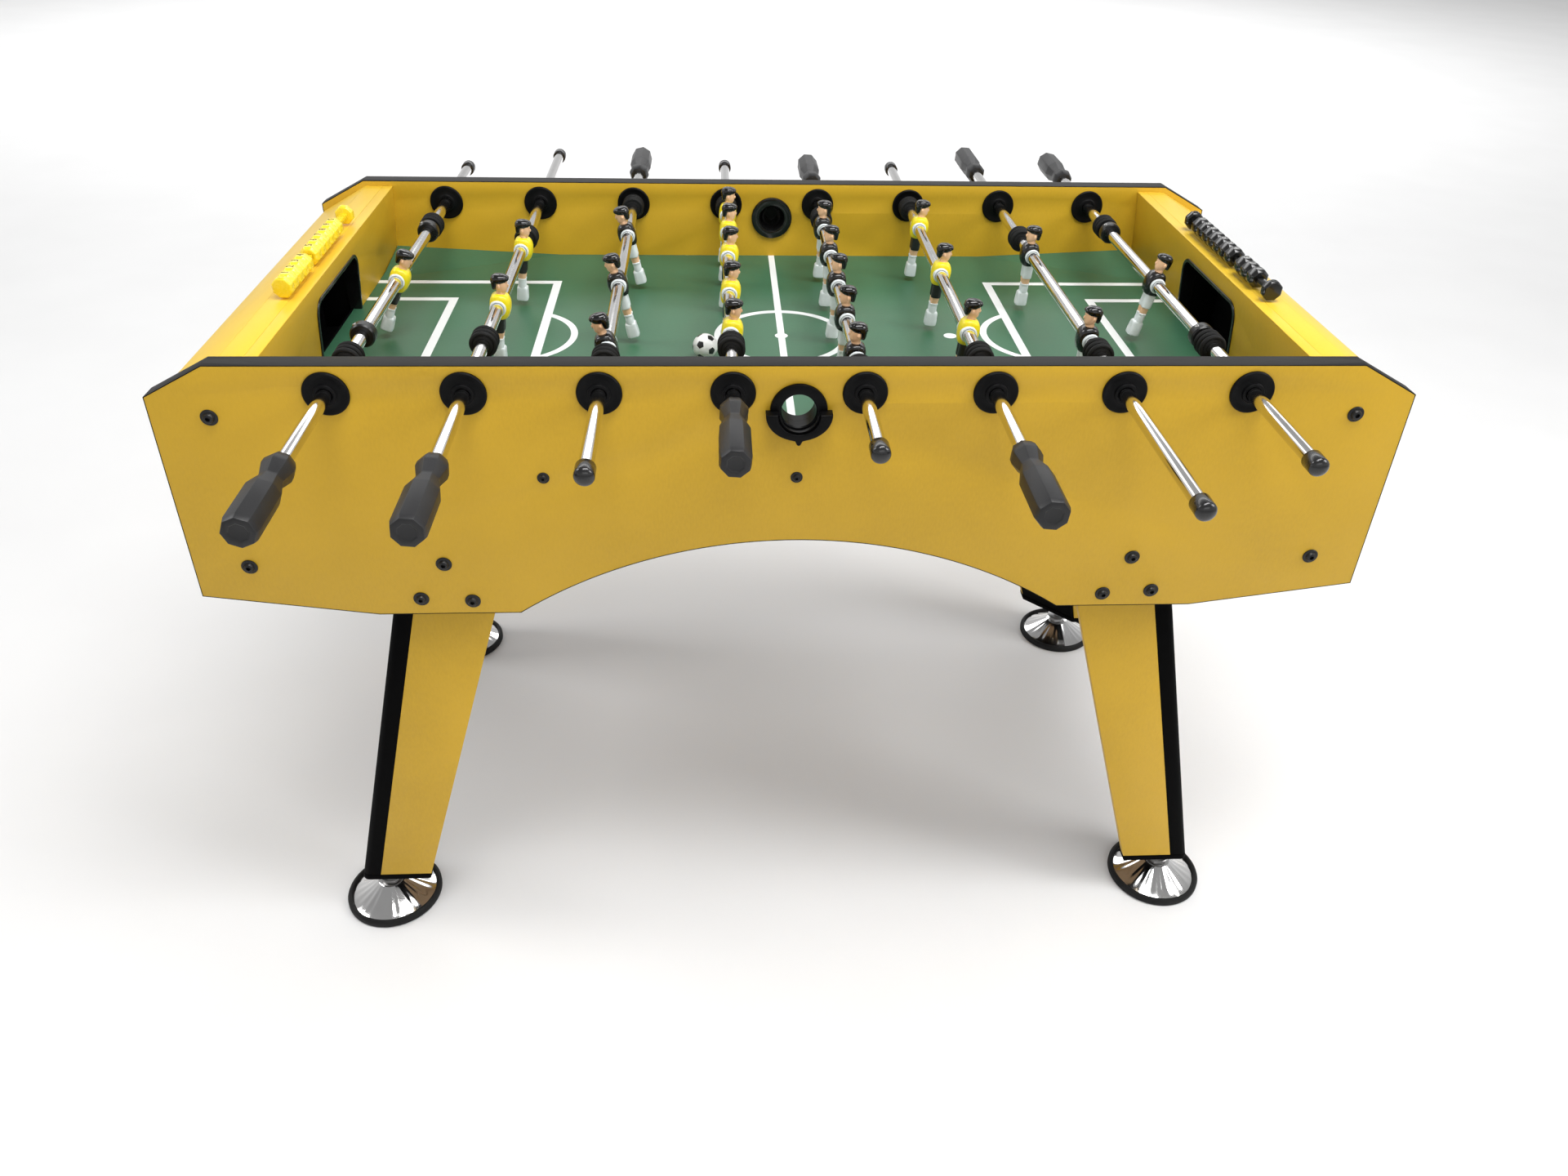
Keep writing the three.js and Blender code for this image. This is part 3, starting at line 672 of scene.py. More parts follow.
# The goal itself is moulded in black: a glossy sleeve with a rolled rim lines the mouth, and a box behind it
# catches the ball below the level of the pitch.
rim_lip = 0.0022
sleeve_wall = 0.0028
box_x = goal_wall_x + wall_lean + 0.0103
box_end = box_x + 0.048
box_wall = 0.004
box_low = pitch_height - 0.031
rim_outer = mouth_outline(rim_lip)
rim_inner = mouth_outline(-sleeve_wall)
rim_outline = [rim_inner[0], *reversed(rim_inner[2:]), *rim_inner[1:2], *rim_outer[1:], rim_outer[0]]
box_sill = pitch_height - 0.0005
box_corners = [(box_x, box_low), (box_end, box_low), (box_end, mouth_top + box_wall),
               (box_x, mouth_top + box_wall)]
box_outline = [*box_corners, (box_x, mouth_top), (box_end - box_wall, mouth_top),
               (box_end - box_wall, box_low + box_wall), (box_x + box_wall, box_low + box_wall),
               (box_x + box_wall, box_sill), (box_x, box_sill)]
sleeve_gap = 0.0004
rim_proud = 0.0006
rim_roll = 0.0009
slab_edge = 0.0005
wall_edge = 0.0004
strip_edge = 0.0003


def slab(section, y_low, y_high, facing, edge=slab_edge):
    """A board whose section lies along the table's length, from side to side."""
    return prism([[(x, y, z) for x, z in section] for y in (y_low, y_high)], facing, edge)


def channel(lines, facing=Matrix.Identity(4)):
    """A bent channel whose long edges run along the given lines, closed at both ends."""
    shape = bmesh.new()
    rows = [[shape.verts.new(point) for point in line] for line in lines]
    for low, high in zip(rows, [*rows[1:], rows[0]]):
        for i in range(len(low) - 1):
            shape.faces.new((low[i], low[i + 1], high[i + 1], high[i]))
    for i in (0, -1):
        shape.faces.new([row[i] for row in rows])
    shape.transform(facing)
    return finished(shape)


def goal_sleeve(facing):
    """The lining of the mouth, from the rim back to the goal box, open at both ends and below."""
    outer, inner = [[*line[1:], line[0]] for line in map(mouth_outline, (-sleeve_gap, -sleeve_wall))]
    front_outer, front_inner = [[lean @ Vector((-sleeve_gap, *p)) for p in line] for line in (outer, inner)]
    back_outer, back_inner = [[(box_x + box_wall, *p) for p in line] for line in (outer, inner)]
    return channel([front_outer, back_outer, back_inner, front_inner], facing)


for end_name, end in (("left", -1), ("right", 1)):
    facing = Matrix.Identity(4) if end > 0 else Matrix.Rotation(math.pi, 4, "Z")
    wall_place = facing @ lean @ Matrix.Translation((end_board / 2, 0, 0)) @ upright
    wall = board([wall_outline], end_board - 2 * wall_gap, wall_edge, wall_place)
    piece(f"{end_name}_goal_wall", wall, [yellow_laminate], "table", "yellow_laminate",
          f"{end_name}_goal_end")
    for board_name, section, edge in (("goal_wall_strip", strip_section, strip_edge),
                                      ("ledge", ledge_section, slab_edge), ("roof", roof_section, slab_edge)):
        top_board = slab(section, -end_half_width, end_half_width, facing, edge)
        piece(f"{end_name}_{board_name}", top_board, [lit_ledge_yellow], "table", "yellow_laminate")
    rim_place = facing @ lean @ Matrix.Translation((-rim_proud, 0, 0)) @ upright
    rim = board([rim_outline], rim_lip, rim_roll, rim_place)
    piece(f"{end_name}_goal_rim", rim, [black_liner], "table", "black_plastic")
    piece(f"{end_name}_goal_sleeve", goal_sleeve(facing), [black_liner], "table", "black_plastic")
    box = slab(box_outline, -mouth_half, mouth_half, facing)
    piece(f"{end_name}_goal_box", box, [black_nylon], "table", "black_plastic")
    for side_name, side in (("near", -1), ("far", 1)):
        cheek_ys = sorted((side * mouth_half, side * (mouth_half + box_wall)))
        cheek = slab(box_corners, *cheek_ys, facing)
        piece(f"{end_name}_goal_cheek_{side_name}", cheek, [black_nylon], "table", "black_plastic")

# ---- End panels ---------------------------------------------------------------------------------------
# An upright laminate board closes each end, screwed to a post in each corner. The boards and posts keep the
# frame's own shape, with their edges eased.
for end_name in ("left", "right"):
    node = frame["nodes"][f"{end_name}_end_panel"]
    node.data.materials.clear()
    node.data.materials.append(yellow_laminate)
    weld = node.modifiers.new("weld", "WELD")
    weld.merge_threshold = 0.00001
    rounding = node.modifiers.new("rounding", "BEVEL")
    rounding.width = 0.0006
    rounding.segments = 2
    rounding.angle_limit = math.radians(30)

# ---- Legs ---------------------------------------------------------------------------------------------
# Each leg is two tapered laminate boards meeting in a black corner profile, with a black board across the
# inside and a black plate underneath, which takes the foot's thread.
leg_low = 0.070
leg_high = 0.650
leg_outer_x = 0.616
leg_lean_x = 0.254
leg_lean_y = 0.04
leg_widths = (0.098, 0.134)
leg_board = 0.020
board_depth = leg_board * 0.75
backing_depth = leg_board * 0.8
leg_rounding = 0.0112
profile_width = 0.026
corner_reach = profile_width - end_gap
inner_reach = profile_width + 0.012
inner_inset = 0.001
plate_overhang = 0.001
plate_height = 0.010
leg_edge = 0.0006
plate_edge = 0.001
leg_outer_y = panel_inner - end_gap


def leg_point(height, along, inwards):
    """A point on a leg: the distances from its outer corner, along the table and in from the side."""
    rise = height - leg_low
    x = leg_outer_x - leg_lean_x * rise - along
    y = leg_outer_y + leg_lean_y * (panel_bottom - height) - inwards
    return (x, y, height)


def leg_width(height):
    return leg_widths[0] + (leg_widths[1] - leg_widths[0]) * (height - leg_low) / (leg_high - leg_low)


# The sections below are taken at a height, as distances along the table and in from the side.
rounded_corner = [(leg_rounding - x, leg_rounding - y) for x, y in arc(leg_rounding, 0, 90, 8)]


def side_board(height):
    width = leg_width(height)
    return [(profile_width, 0), (width, 0), (width, board_depth), (profile_width, board_depth)]


def end_board_section(height):
    width = leg_width(height)
    return [(0, profile_width), (board_depth, profile_width), (board_depth, width), (0, width)]


def corner_profile(_):
    return [*rounded_corner, (corner_reach, 0), (corner_reach, backing_depth), (backing_depth, corner_reach),
            (0, corner_reach)]


def inner_board(height):
    width = leg_width(height) - inner_inset
    return [(backing_depth, width), (backing_depth, inner_reach), (inner_reach, backing_depth),
            (width, backing_depth), (width, leg_board), (leg_board, width)]


def bottom_plate(height):
    width = leg_width(height) + plate_overhang
    return [*rounded_corner, (width, 0), (width, leg_board), (leg_board, width), (0, width)]


satin_black = moulded("satin_black_board", (0.0018, 0.0018, 0.0019), 0.6, 300, 0.00003, 0.03)
boards_low = leg_low + plate_height
leg_boards = [
    ("side_board", side_board, boards_low, leg_high, yellow_laminate, "yellow_laminate", leg_edge),
    ("end_board", end_board_section, boards_low, leg_high, yellow_laminate, "yellow_laminate", leg_edge),
    ("corner_profile", corner_profile, boards_low, leg_high, satin_black, "black_plastic", leg_edge),
    ("inner_board", inner_board, boards_low, leg_high, satin_black, "black_plastic", leg_edge),
    ("bottom_plate", bottom_plate, leg_low, boards_low - end_gap, satin_black, "black_plastic", plate_edge),
]
for side_name, side in (("near", -1), ("far", 1)):
    for end_name, end in (("left", -1), ("right", 1)):
        leg = f"{side_name}_{end_name}_leg"
        mirror = Matrix.Diagonal((end, side, 1, 1))
        for board_name, section, low, high, material, slot, edge in leg_boards:
            rows = [[leg_point(height, *p) for p in section(height)] for height in (low, high)]
            replaced = [leg] if board_name == "side_board" else []
            piece(f"{leg}_{board_name}", prism(rows, mirror, edge), [material], "table", slot, *replaced)

# ---- Levelling feet -----------------------------------------------------------------------------------
# A chromed spun cone stands in a black rubber ring and turns on a threaded stem, with a locking nut above it.
# Shallow flutes run down the cone.
foot_radius = 0.0685
ring_inner = 0.062
ring_height = 0.012
cone_top = 0.034
cone_neck = 0.0205
stem_radius = 0.007
flute_count = 24
flute_depth = 0.0006


def chromed(name, tone=0.80, roughness=0.07):
    """Chromed steel: bright, with fine polishing lines and faint smears."""
    finish = Finish(name)
    smears = finish.noise(14, 4)
    lines = finish.noise(900, 2, (1, 0.02, 1))
    base = finish.ramp(smears, (0.3, shaded((1, 0.985, 0.97), tone * 0.93)), (0.7, shaded((1, 1, 1), tone)))
    return finish.coat(
        Base_Color=base,
        Metallic=1.0,
        Roughness=roughness + smears * 0.08,
        Normal=finish.bump(lines, 0.00001),
    )


def rubber(name, colour=(0.004, 0.004, 0.004)):
    """Black rubber: dull, dusty and slightly pitted."""
    finish = Finish(name)
    dust = finish.noise(70, 5)
    pits = finish.noise(1300, 2)
    base = finish.ramp(dust, (0.35, colour), (0.75, shaded(colour, 2.2)))
    return finish.coat(
        Base_Color=base,
        Roughness=0.5 + dust * 0.2,
        Normal=finish.bump(pits, 0.00005),
        Specular_IOR_Level=0.25,
    )


chrome = chromed("polished_chrome")
black_rubber = rubber("black_rubber")
zinc = chromed("zinc_plate", 0.42, 0.28)
ring_profile = [(ring_inner, 0.0006), (ring_inner + 0.001, 0), (foot_radius - 0.002, 0), (foot_radius, 0.002),
                (foot_radius, 0.0075), (foot_radius - 0.001, 0.0098), (foot_radius - 0.0034, 0.0118),
                (ring_inner + 0.0008, ring_height), (ring_inner, 0.0105), (ring_inner, 0.0006)]
cone_steps = 12
cone_foot = ring_inner - 0.0004
cone_low = 0.0085
cone_curve = 1.15
cone_profile = [(cone_foot - (ring_inner - cone_neck) * i / cone_steps,
                 cone_low + (cone_top - cone_low) * (i / cone_steps) ** cone_curve)
                for i in range(cone_steps + 1)]
nut_low = cone_top + 0.0008
nut_profile = [(stem_radius, nut_low), (0.013, nut_low), (0.0145, nut_low + 0.001),
               (0.0145, nut_low + 0.0055), (0.013, nut_low + 0.0065), (stem_radius, nut_low + 0.0065)]
washer_profile = [(stem_radius, nut_low + 0.0068), (0.0175, nut_low + 0.0068), (0.0185, nut_low + 0.0076),
                  (0.0185, nut_low + 0.0092), (0.0175, nut_low + 0.010), (stem_radius, nut_low + 0.010)]
thread_pitch = 0.002
thread_depth = 0.0006
thread_turns = int((leg_low - 0.0003 - nut_low) / thread_pitch) + 10
thread = [point for i in range(thread_turns)
          for point in ((stem_radius - thread_depth, nut_low + i * thread_pitch),
                        (stem_radius, nut_low + (i + 0.5) * thread_pitch))]
stem_profile = [(0, nut_low), *thread, (0, thread[-1][1])]


def fluted_cone(place):
    """The spun cone with its shallow flutes, and its underside."""
    shape = bmesh.new()
    rows = turned(shape, cone_profile, flute_count * 6, Matrix.Identity(4))
    for level, row in enumerate(rows):
        share = math.sin(math.pi * level / cone_steps)
        for i, vertex in enumerate(row):
            vertex.co.z -= flute_depth * share * (0.5 + 0.5 * math.cos(math.tau * i / 6))
    underside = [(cone_foot, cone_low), (cone_foot, 0.0004), (0, 0.0004)]
    top = [(cone_neck, cone_top), (cone_neck - 0.002, nut_low), (0, nut_low)]
    for profile in (underside, top):
        turned(shape, profile, flute_count * 6, Matrix.Identity(4))
    shape.transform(place)
    return finished(shape, 24)


for side_name in ("near", "far"):
    for end_name in ("left", "right"):
        name = f"{side_name}_{end_name}_foot"
        low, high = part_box(name)
        place = Matrix.Translation(((low.x + high.x) / 2, (low.y + high.y) / 2, low.z))
        piece(f"{name}_cone", fluted_cone(place), [chrome], name, "foot_chrome", name)
        ring_mesh = lathed(ring_profile, 96, place)
        piece(f"{name}_rubber_ring", ring_mesh, [black_rubber], name, "black_plastic")
        shape = bmesh.new()
        turned(shape, nut_profile, 6, place)
        turned(shape, washer_profile, 48, place)
        piece(f"{name}_lock_nut", finished(shape, 20), [zinc], name, "foot_chrome")
        stem = lathed(stem_profile, 32, place, 20)
        piece(f"{name}_stem", stem, [zinc], name, "foot_chrome")

# ---- Ball cups ----------------------------------------------------------------------------------------
# Black moulded bushes through the side panels. The near one is open, with a scoop and a pointed tab on the
# outside where the ball is dropped in. The far one is closed by a glossy bowl.
cup_bore = 0.0195
cup_flange = 0.032
cup_flange_height = 0.004
cup_tube = 0.0235
scoop_reach = 0.015
scoop_tip = 0.037
cup_gap = 0.0003
cup_steps = 80
scoop_edge = 0.0012
scoop_top = 0.0005
tab_half = 0.0042


def flange_profile(height):
    """The rounded rim of a cup's flange, from its outer edge to the bore."""
    return [(cup_flange, cup_gap), (cup_flange, height - 0.0016), (cup_flange - 0.0006, height - 0.0004),
            (cup_flange - 0.002, height), (cup_bore + 0.0035, height), (cup_bore + 0.001, height - 0.0006),
            (cup_bore, height - 0.002)]


def cup_scoop(place):
    """The lower half of the near cup: a lip with a wing at each side and a short pointed tab."""
    wing = cup_flange + 0.005
    lip = cup_flange - 0.0008
    lower_left = [(wing * x, lip * z) for x, z in arc(1, 185, 256, 14)]
    tip_radius = 0.0026
    tip = [(x, z + tip_radius - scoop_tip) for x, z in arc(tip_radius, 205, 270, 4)]
    half = [(-wing, scoop_top), *lower_left, (-tab_half, -lip - 0.0004), *tip]
    mirrored = [(-x, z) for x, z in reversed(half[:-1])]
    inner = arc(cup_tube, 0, -180, 24)
    line = [*half, *mirrored, (cup_tube, scoop_top), *inner, (-cup_tube, scoop_top)]
    return board([line], scoop_reach, scoop_edge, place)


cup_black = moulded("cup_black", (0.0025, 0.0025, 0.0028), 0.34, 800, 0.00003, 0.1)
bowl_black = moulded("bowl_black", (0.006, 0.006, 0.006), 0.1, 900, 0.00001, 0.5)
near_cup = Matrix.Translation((0, -panel_outer, cup_height)) @ across
near_cup_inside = Matrix.Translation((0, -panel_inner, cup_height)) @ along_far
for face_name, place, sleeve_end, replaced in (
        ("outer", near_cup, -panel_thickness / 2, ["near_ball_cup"]),
        ("inner", near_cup_inside, -panel_thickness / 2 + bush_gap, [])):
    bush = lathed([*flange_profile(cup_flange_height), (cup_bore, sleeve_end), (cup_tube, sleeve_end),
                   (cup_tube, cup_gap), (cup_flange, cup_gap)], cup_steps, place)
    piece(f"near_cup_{face_name}_bush", bush, [cup_black], "table", "black_plastic", *replaced)
scoop_place = Matrix.Translation((0, -panel_outer - cup_gap - scoop_reach / 2, cup_height)) @ across
piece("near_cup_scoop", cup_scoop(scoop_place), [cup_black], "table", "black_plastic")
pocket_profile = [(cup_tube - 0.0001, 0.0045), (cup_tube - 0.0001, 0.0128), (cup_tube - 0.0035, 0.0148),
                  (cup_tube - 0.0035, 0.0136), (cup_tube - 0.0015, 0.0118), (cup_tube - 0.0015, 0.0045)]
pocket = channel([[near_cup @ Vector((*p, depth)) for p in arc(radius, 180, 360, 24)]
                  for radius, depth in pocket_profile])
piece("near_cup_step", pocket, [cup_black], "table", "black_plastic")

far_cup_inside = Matrix.Translation((0, panel_inner, cup_height)) @ across
far_cup_outside = Matrix.Translation((0, panel_outer, cup_height)) @ along_far
bowl_depth = panel_thickness + 0.003
bowl_mouth = 0.006
bowl_curve = arc(1, 0, 90, 10)[:-1]
bowl_inside = [(cup_bore * x * 0.98, -bowl_mouth - (bowl_depth - bowl_mouth) * z) for x, z in bowl_curve]
bowl_outside = [((cup_bore + 0.0025) * x, -bowl_mouth - (bowl_depth - 0.005) * z) for x, z in bowl_curve]
bowl = [*flange_profile(cup_flange_height), (cup_bore, -0.004), *bowl_inside, (0, -bowl_depth),
        (0, -bowl_depth - 0.001), *reversed(bowl_outside), (cup_tube, -bowl_mouth), (cup_tube, cup_gap),
        (cup_flange, cup_gap)]
cover = [(0, cup_flange_height + 0.0005), (cup_bore * 0.5, cup_flange_height),
         (cup_bore + 0.002, cup_flange_height - 0.0008), (cup_flange - 0.002, cup_flange_height - 0.001),
         (cup_flange, 0.0018), (cup_flange, cup_gap), (0, cup_gap)]
bowl_mesh = lathed(bowl, cup_steps, far_cup_inside)
piece("far_cup_bowl", bowl_mesh, [bowl_black], "table", "black_plastic", "far_ball_cup")
piece("far_cup_cover", lathed(cover, cup_steps, far_cup_outside), [cup_black], "table", "black_plastic")

# ---- Score counters -----------------------------------------------------------------------------------
# An oblong bar held between two moulded brackets on each ledge carries ten numbered beads. Each bead is a
# barrel with a flat on top for its number. Some are parked at one bracket, and the rest slide as a group.
bead_pitch = 0.021
bead_top = 0.01185
bead_gap = 0.0005
bracket_top = 0.0121
bracket_depth = 0.012
bead_corner = 1.08
bore_corners = [(1, 0.6), (0.7, 1), (-0.7, 1), (-1, 0.6), (-1, -0.6), (-0.7, -1), (0.7, -1), (1, -0.6)]


def glossy(name, colour, roughness=0.2):
    """Glossy injection-moulded plastic: a deep even colour with faint flow lines and handling marks."""
    finish = Finish(name)
    flow = finish.noise(60, 4, (1, 0.3, 1))
    marks = finish.noise(340, 5)
    base = finish.ramp(flow, (0.3, shaded(colour, 0.92)), (0.7, shaded(colour, 1.08)))
    return finish.coat(
        Base_Color=base,
        Roughness=roughness - 0.05 + marks * 0.15,
        Normal=finish.bump(marks, 0.00002),
        Coat_Weight=0.25,
    )


def barrel(sections, bore=None):
    """An eight-sided barrel about the Y axis, flat on top, with an oblong bore for the bar."""
    shape = bmesh.new()
    turns = [math.tau * (i + 0.5) / 8 for i in range(8)]
    rows = [[shape.verts.new((radius * bead_corner * math.cos(t), y, radius * bead_corner * math.sin(t)))
             for t in turns] for y, radius in sections]
    if bore:
        rows += [[shape.verts.new((bore[0] * x, y, bore[1] * z)) for x, z in bore_corners]
                 for y in (sections[-1][0], sections[0][0])]
        rows.append(rows[0])
    else:
        shape.faces.new(rows[0])
        shape.faces.new(rows[-1])
    for low, high in zip(rows, rows[1:]):
        for i in range(8):
            shape.faces.new((low[i], low[(i + 1) % 8], high[(i + 1) % 8], high[i]))
    return softened(eased(finished(shape), 0.0005, 20), 24)


bar_half = (0.0048, 0.003)
bar_inset = 0.004
bar_edge = 0.0009
counter_screw = [(0, 0.0001), (0.0026, 0.0001), (0.0028, 0.0006), (0.0036, 0.0006), (0.0038, 0)]
parking_gap = 0.016
bead_bore = (0.0054, 0.0036)
bead_length = bead_pitch - bead_gap
bead_sections = [(0, 0.0088), (0.0044, 0.0119), (bead_length - 0.0044, 0.0119), (bead_length, 0.0088)]
bracket_sections = [(0, 0.0104), (0.0022, 0.0121), (bracket_depth - 0.0022, 0.0121), (bracket_depth, 0.0104)]


def digit_mesh(digit, place, thickness=0.0002):
    """A number for a bead's flat, cut from thin sheet."""
    curve = bpy.data.curves.new("digit", "FONT")
    curve.body = digit
    curve.size = 0.0125
    curve.align_x = "CENTER"
    curve.align_y = "CENTER"
    curve.extrude = thickness
    curve.resolution_u = 3
    mesh = drawn_mesh(curve)
    mesh.transform(place)
    return mesh


def joined(name, meshes, places=None):
    """Several meshes as one, each put in its place."""
    shape = bmesh.new()
    for mesh, place in zip(meshes, places or [Matrix.Identity(4)] * len(meshes)):
        copy = mesh.copy()
        copy.transform(place)
        shape.from_mesh(copy)
        bpy.data.meshes.remove(copy)
    whole = bpy.data.meshes.new(name)
    shape.to_mesh(whole)
    shape.free()
    return whole


bead = barrel(bead_sections, bead_bore)
bracket = barrel(bracket_sections)
scorer_yellow = glossy("scorer_yellow", (0.93, 0.68, 0.020), 0.25)
scorer_black = glossy("scorer_black", (0.008, 0.008, 0.008), 0.14)
number_black = moulded("number_black", (0.01, 0.009, 0.008), 0.5)
number_grey = moulded("number_grey", (0.36, 0.36, 0.35), 0.3)
counters = [
    ("left", scorer_yellow, number_black, "yellow_plastic", (4, "near"), 6),
    ("right", scorer_black, number_grey, "black_gloss", (7, "far"), 3),
]
for end_name, plastic, ink, counter_slot, (parked, parked_side), moving in counters:
    rail_low, rail_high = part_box(f"{end_name}_counter_rail")
    beads_low, beads_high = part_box(f"{end_name}_counter_beads")
    middle = Vector(((rail_low.x + rail_high.x) / 2, 0, (beads_low.z + beads_high.z) / 2))
    half_width, half_height = bar_half
    bar_section = [(middle.x + half_width * x, middle.z + half_height * z)
                   for x, z in ((-1, -1), (1, -1), (1, 1), (-1, 1))]
    bar = slab(bar_section, rail_low.y + bar_inset, rail_high.y - bar_inset, Matrix.Identity(4), bar_edge)
    screws = bmesh.new()
    for y in (rail_low.y + bracket_depth / 2, rail_high.y - bracket_depth / 2):
        turned(screws, counter_screw, 24, Matrix.Translation((middle.x, y, middle.z + bracket_top)))
    ends = [Matrix.Translation((middle.x, rail_low.y, middle.z)),
            Matrix.Translation((middle.x, rail_high.y - bracket_depth, middle.z))]
    piece(f"{end_name}_counter_bar", bar, [plastic], "table", counter_slot, f"{end_name}_counter_rail")
    piece(f"{end_name}_counter_screws", finished(screws), [plastic], "table", counter_slot)
    piece(f"{end_name}_counter_brackets", softened(joined("brackets", [bracket, bracket], ends)), [plastic],
          "table", counter_slot)
    if parked_side == "near":
        parked_low = beads_low.y - parking_gap - parked * bead_pitch
    else:
        parked_low = beads_high.y + parking_gap + bead_gap
    starts = [parked_low + i * bead_pitch for i in range(parked)]
    sliding = [beads_low.y + i * bead_pitch for i in range(moving)]
    upright = Matrix.Rotation(math.radians(90 if end_name == "left" else -90), 4, "Z")
    order = [*starts, *sliding] if parked_side == "near" else [*sliding, *starts]
    labels = dict(zip(order, "1234567890"))
    for group, body, replaced in ((starts, "table", ()),
                                  (sliding, f"{end_name}_counter_beads", (f"{end_name}_counter_beads",))):
        places = [Matrix.Translation((middle.x, y, middle.z)) for y in group]
        label = "parked" if body == "table" else "sliding"
        row = softened(joined("beads", [bead] * len(group), places), 40)
        piece(f"{end_name}_{label}_beads", row, [plastic], body, counter_slot, *replaced)
        flats = [Matrix.Translation((middle.x, y + bead_length / 2, middle.z + bead_top)) for y in group]
        marks = [digit_mesh(labels[y], place @ upright) for y, place in zip(group, flats)]
        piece(f"{end_name}_{label}_numbers", joined("numbers", marks), [ink], body, counter_slot)

# ---- Rods ---------------------------------------------------------------------------------------------
# Chromed steel tubes. Each has a domed rubber cap on one end, ribbed rubber bumpers, and on the goalkeepers'
# rods two clamped collars with a set screw. The bumpers against the far wall belong to the table.
rod_radius = 0.00795
cap_radius = 0.0105
cap_length = 0.024
grip_length = 0.126
reach = 0.287
bumper_half = 0.012
collar_half = 0.008
collar_radius = 0.015
wall_bumper_y = panel_inner - 0.004 - bumper_half
rods = [
    {"team": "yellow", "swing": 22, "bumpers": [-0.913, 0.75], "collars": [-0.672, 0.66]},
    {"team": "yellow", "swing": 6, "bumpers": [-0.75, 0.575]},
    {"team": "black", "swing": -13, "bumpers": [-0.93], "wall": True},
    {"team": "yellow", "swing": 5, "bumpers": [-0.8], "wall": True},
    {"team": "black", "swing": 3, "bumpers": [-1.035, 0.9]},
    {"team": "yellow", "swing": 6, "bumpers": [-0.905], "wall": True},
    {"team": "black", "swing": 3, "bumpers": [-0.87, 0.592]},
    {"team": "black", "swing": 13, "bumpers": [-0.78, 0.795], "collars": [-0.68, 0.7]},
]


def rib_tree():
    """Grows a row of round ribs along Y from each point."""
    tree = Tree("ribs", {"Radius": "NodeSocketFloat", "Rib": "NodeSocketFloat", "Spacing": "NodeSocketFloat",
                         "Count": "NodeSocketInt", "Material": "NodeSocketMaterial"})
    offset = tree.node("ShaderNodeCombineXYZ", None, {"Y": tree.given("Spacing")})
    row = tree.node("GeometryNodeMeshLine", {"mode": "OFFSET"},
                    {"Count": tree.given("Count"), "Offset": offset})
    hoop, section = [tree.node("GeometryNodeCurvePrimitiveCircle", None,
                               {"Resolution": steps, "Radius": tree.given(name)})
                     for steps, name in ((48, "Radius"), (10, "Rib"))]
    rib = tree.node("GeometryNodeCurveToMesh", None, {"Curve": hoop, "Profile Curve": section})
    quarter_turn = (math.radians(90), 0, 0)
    upright_rib = tree.node("GeometryNodeTransform", None, {"Geometry": rib, "Rotation": quarter_turn})
    ribs = tree.node("GeometryNodeInstanceOnPoints", None, {"Points": row, "Instance": upright_rib})
    rows = tree.node("GeometryNodeInstanceOnPoints", None,
                     {"Points": tree.given("Geometry"), "Instance": ribs})
    tree.end(rows, tree.given("Material"))
    return tree


ribs = rib_tree()
bumper_rubber = rubber("bumper_rubber", (0.0045, 0.0045, 0.0045))
collar_black = moulded("collar_black", (0.007, 0.007, 0.007), 0.28)
cap_black = glossy("cap_black", (0.008, 0.008, 0.0085), 0.22)
sleeve_bore = rod_radius + 0.0002
bumper_body = 0.0118
bumper_profile = [(sleeve_bore, -bumper_half), (bumper_body, -bumper_half), (bumper_body, bumper_half),
                  (sleeve_bore, bumper_half), (sleeve_bore, -bumper_half)]
bumper_rib = 0.0028
bumper_rib_radius = 0.0137
bumper_ribs = 3
rib_spacing = (2 * bumper_half - 2 * bumper_rib - 0.0002) / (bumper_ribs - 1)
collar_profile = [(sleeve_bore, -collar_half), (0.0132, -collar_half), (0.0148, -collar_half + 0.0022),
                  (collar_radius, -0.002), (collar_radius, 0.002), (0.0148, collar_half - 0.0022),
                  (0.0132, collar_half), (sleeve_bore, collar_half), (sleeve_bore, -collar_half)]
collar_screw = [(0, 0.0152), (0.0012, 0.0152), (0.0014, 0.0158), (0.0024, 0.0158), (0.0026, 0.015),
                (0.0026, 0.013)]
screw_turn = Matrix.Rotation(math.radians(-35), 4, "Y")
tube_bore = 0.0063
cap_dome = 0.62
cap_overlap = 0.006


def bumpers(name, x, distances, body):
    """The ribbed bumpers of one rod."""
    shape = bmesh.new()
    for y in distances:
        turned(shape, bumper_profile, round_steps, Matrix.Translation((x, y, rod_height)) @ along_far)
    starts = [(x, y - rib_spacing * (bumper_ribs - 1) / 2, rod_height) for y in distances]
    rib_mesh = softened(ribs.grown(starts, Radius=bumper_rib_radius, Rib=bumper_rib, Spacing=rib_spacing,
                                   Count=bumper_ribs, Material=bumper_rubber))
    piece(f"{name}_bumpers", finished(shape), [bumper_rubber], body, "black_plastic")
    piece(f"{name}_bumper_ribs", rib_mesh, [], body, "black_plastic")


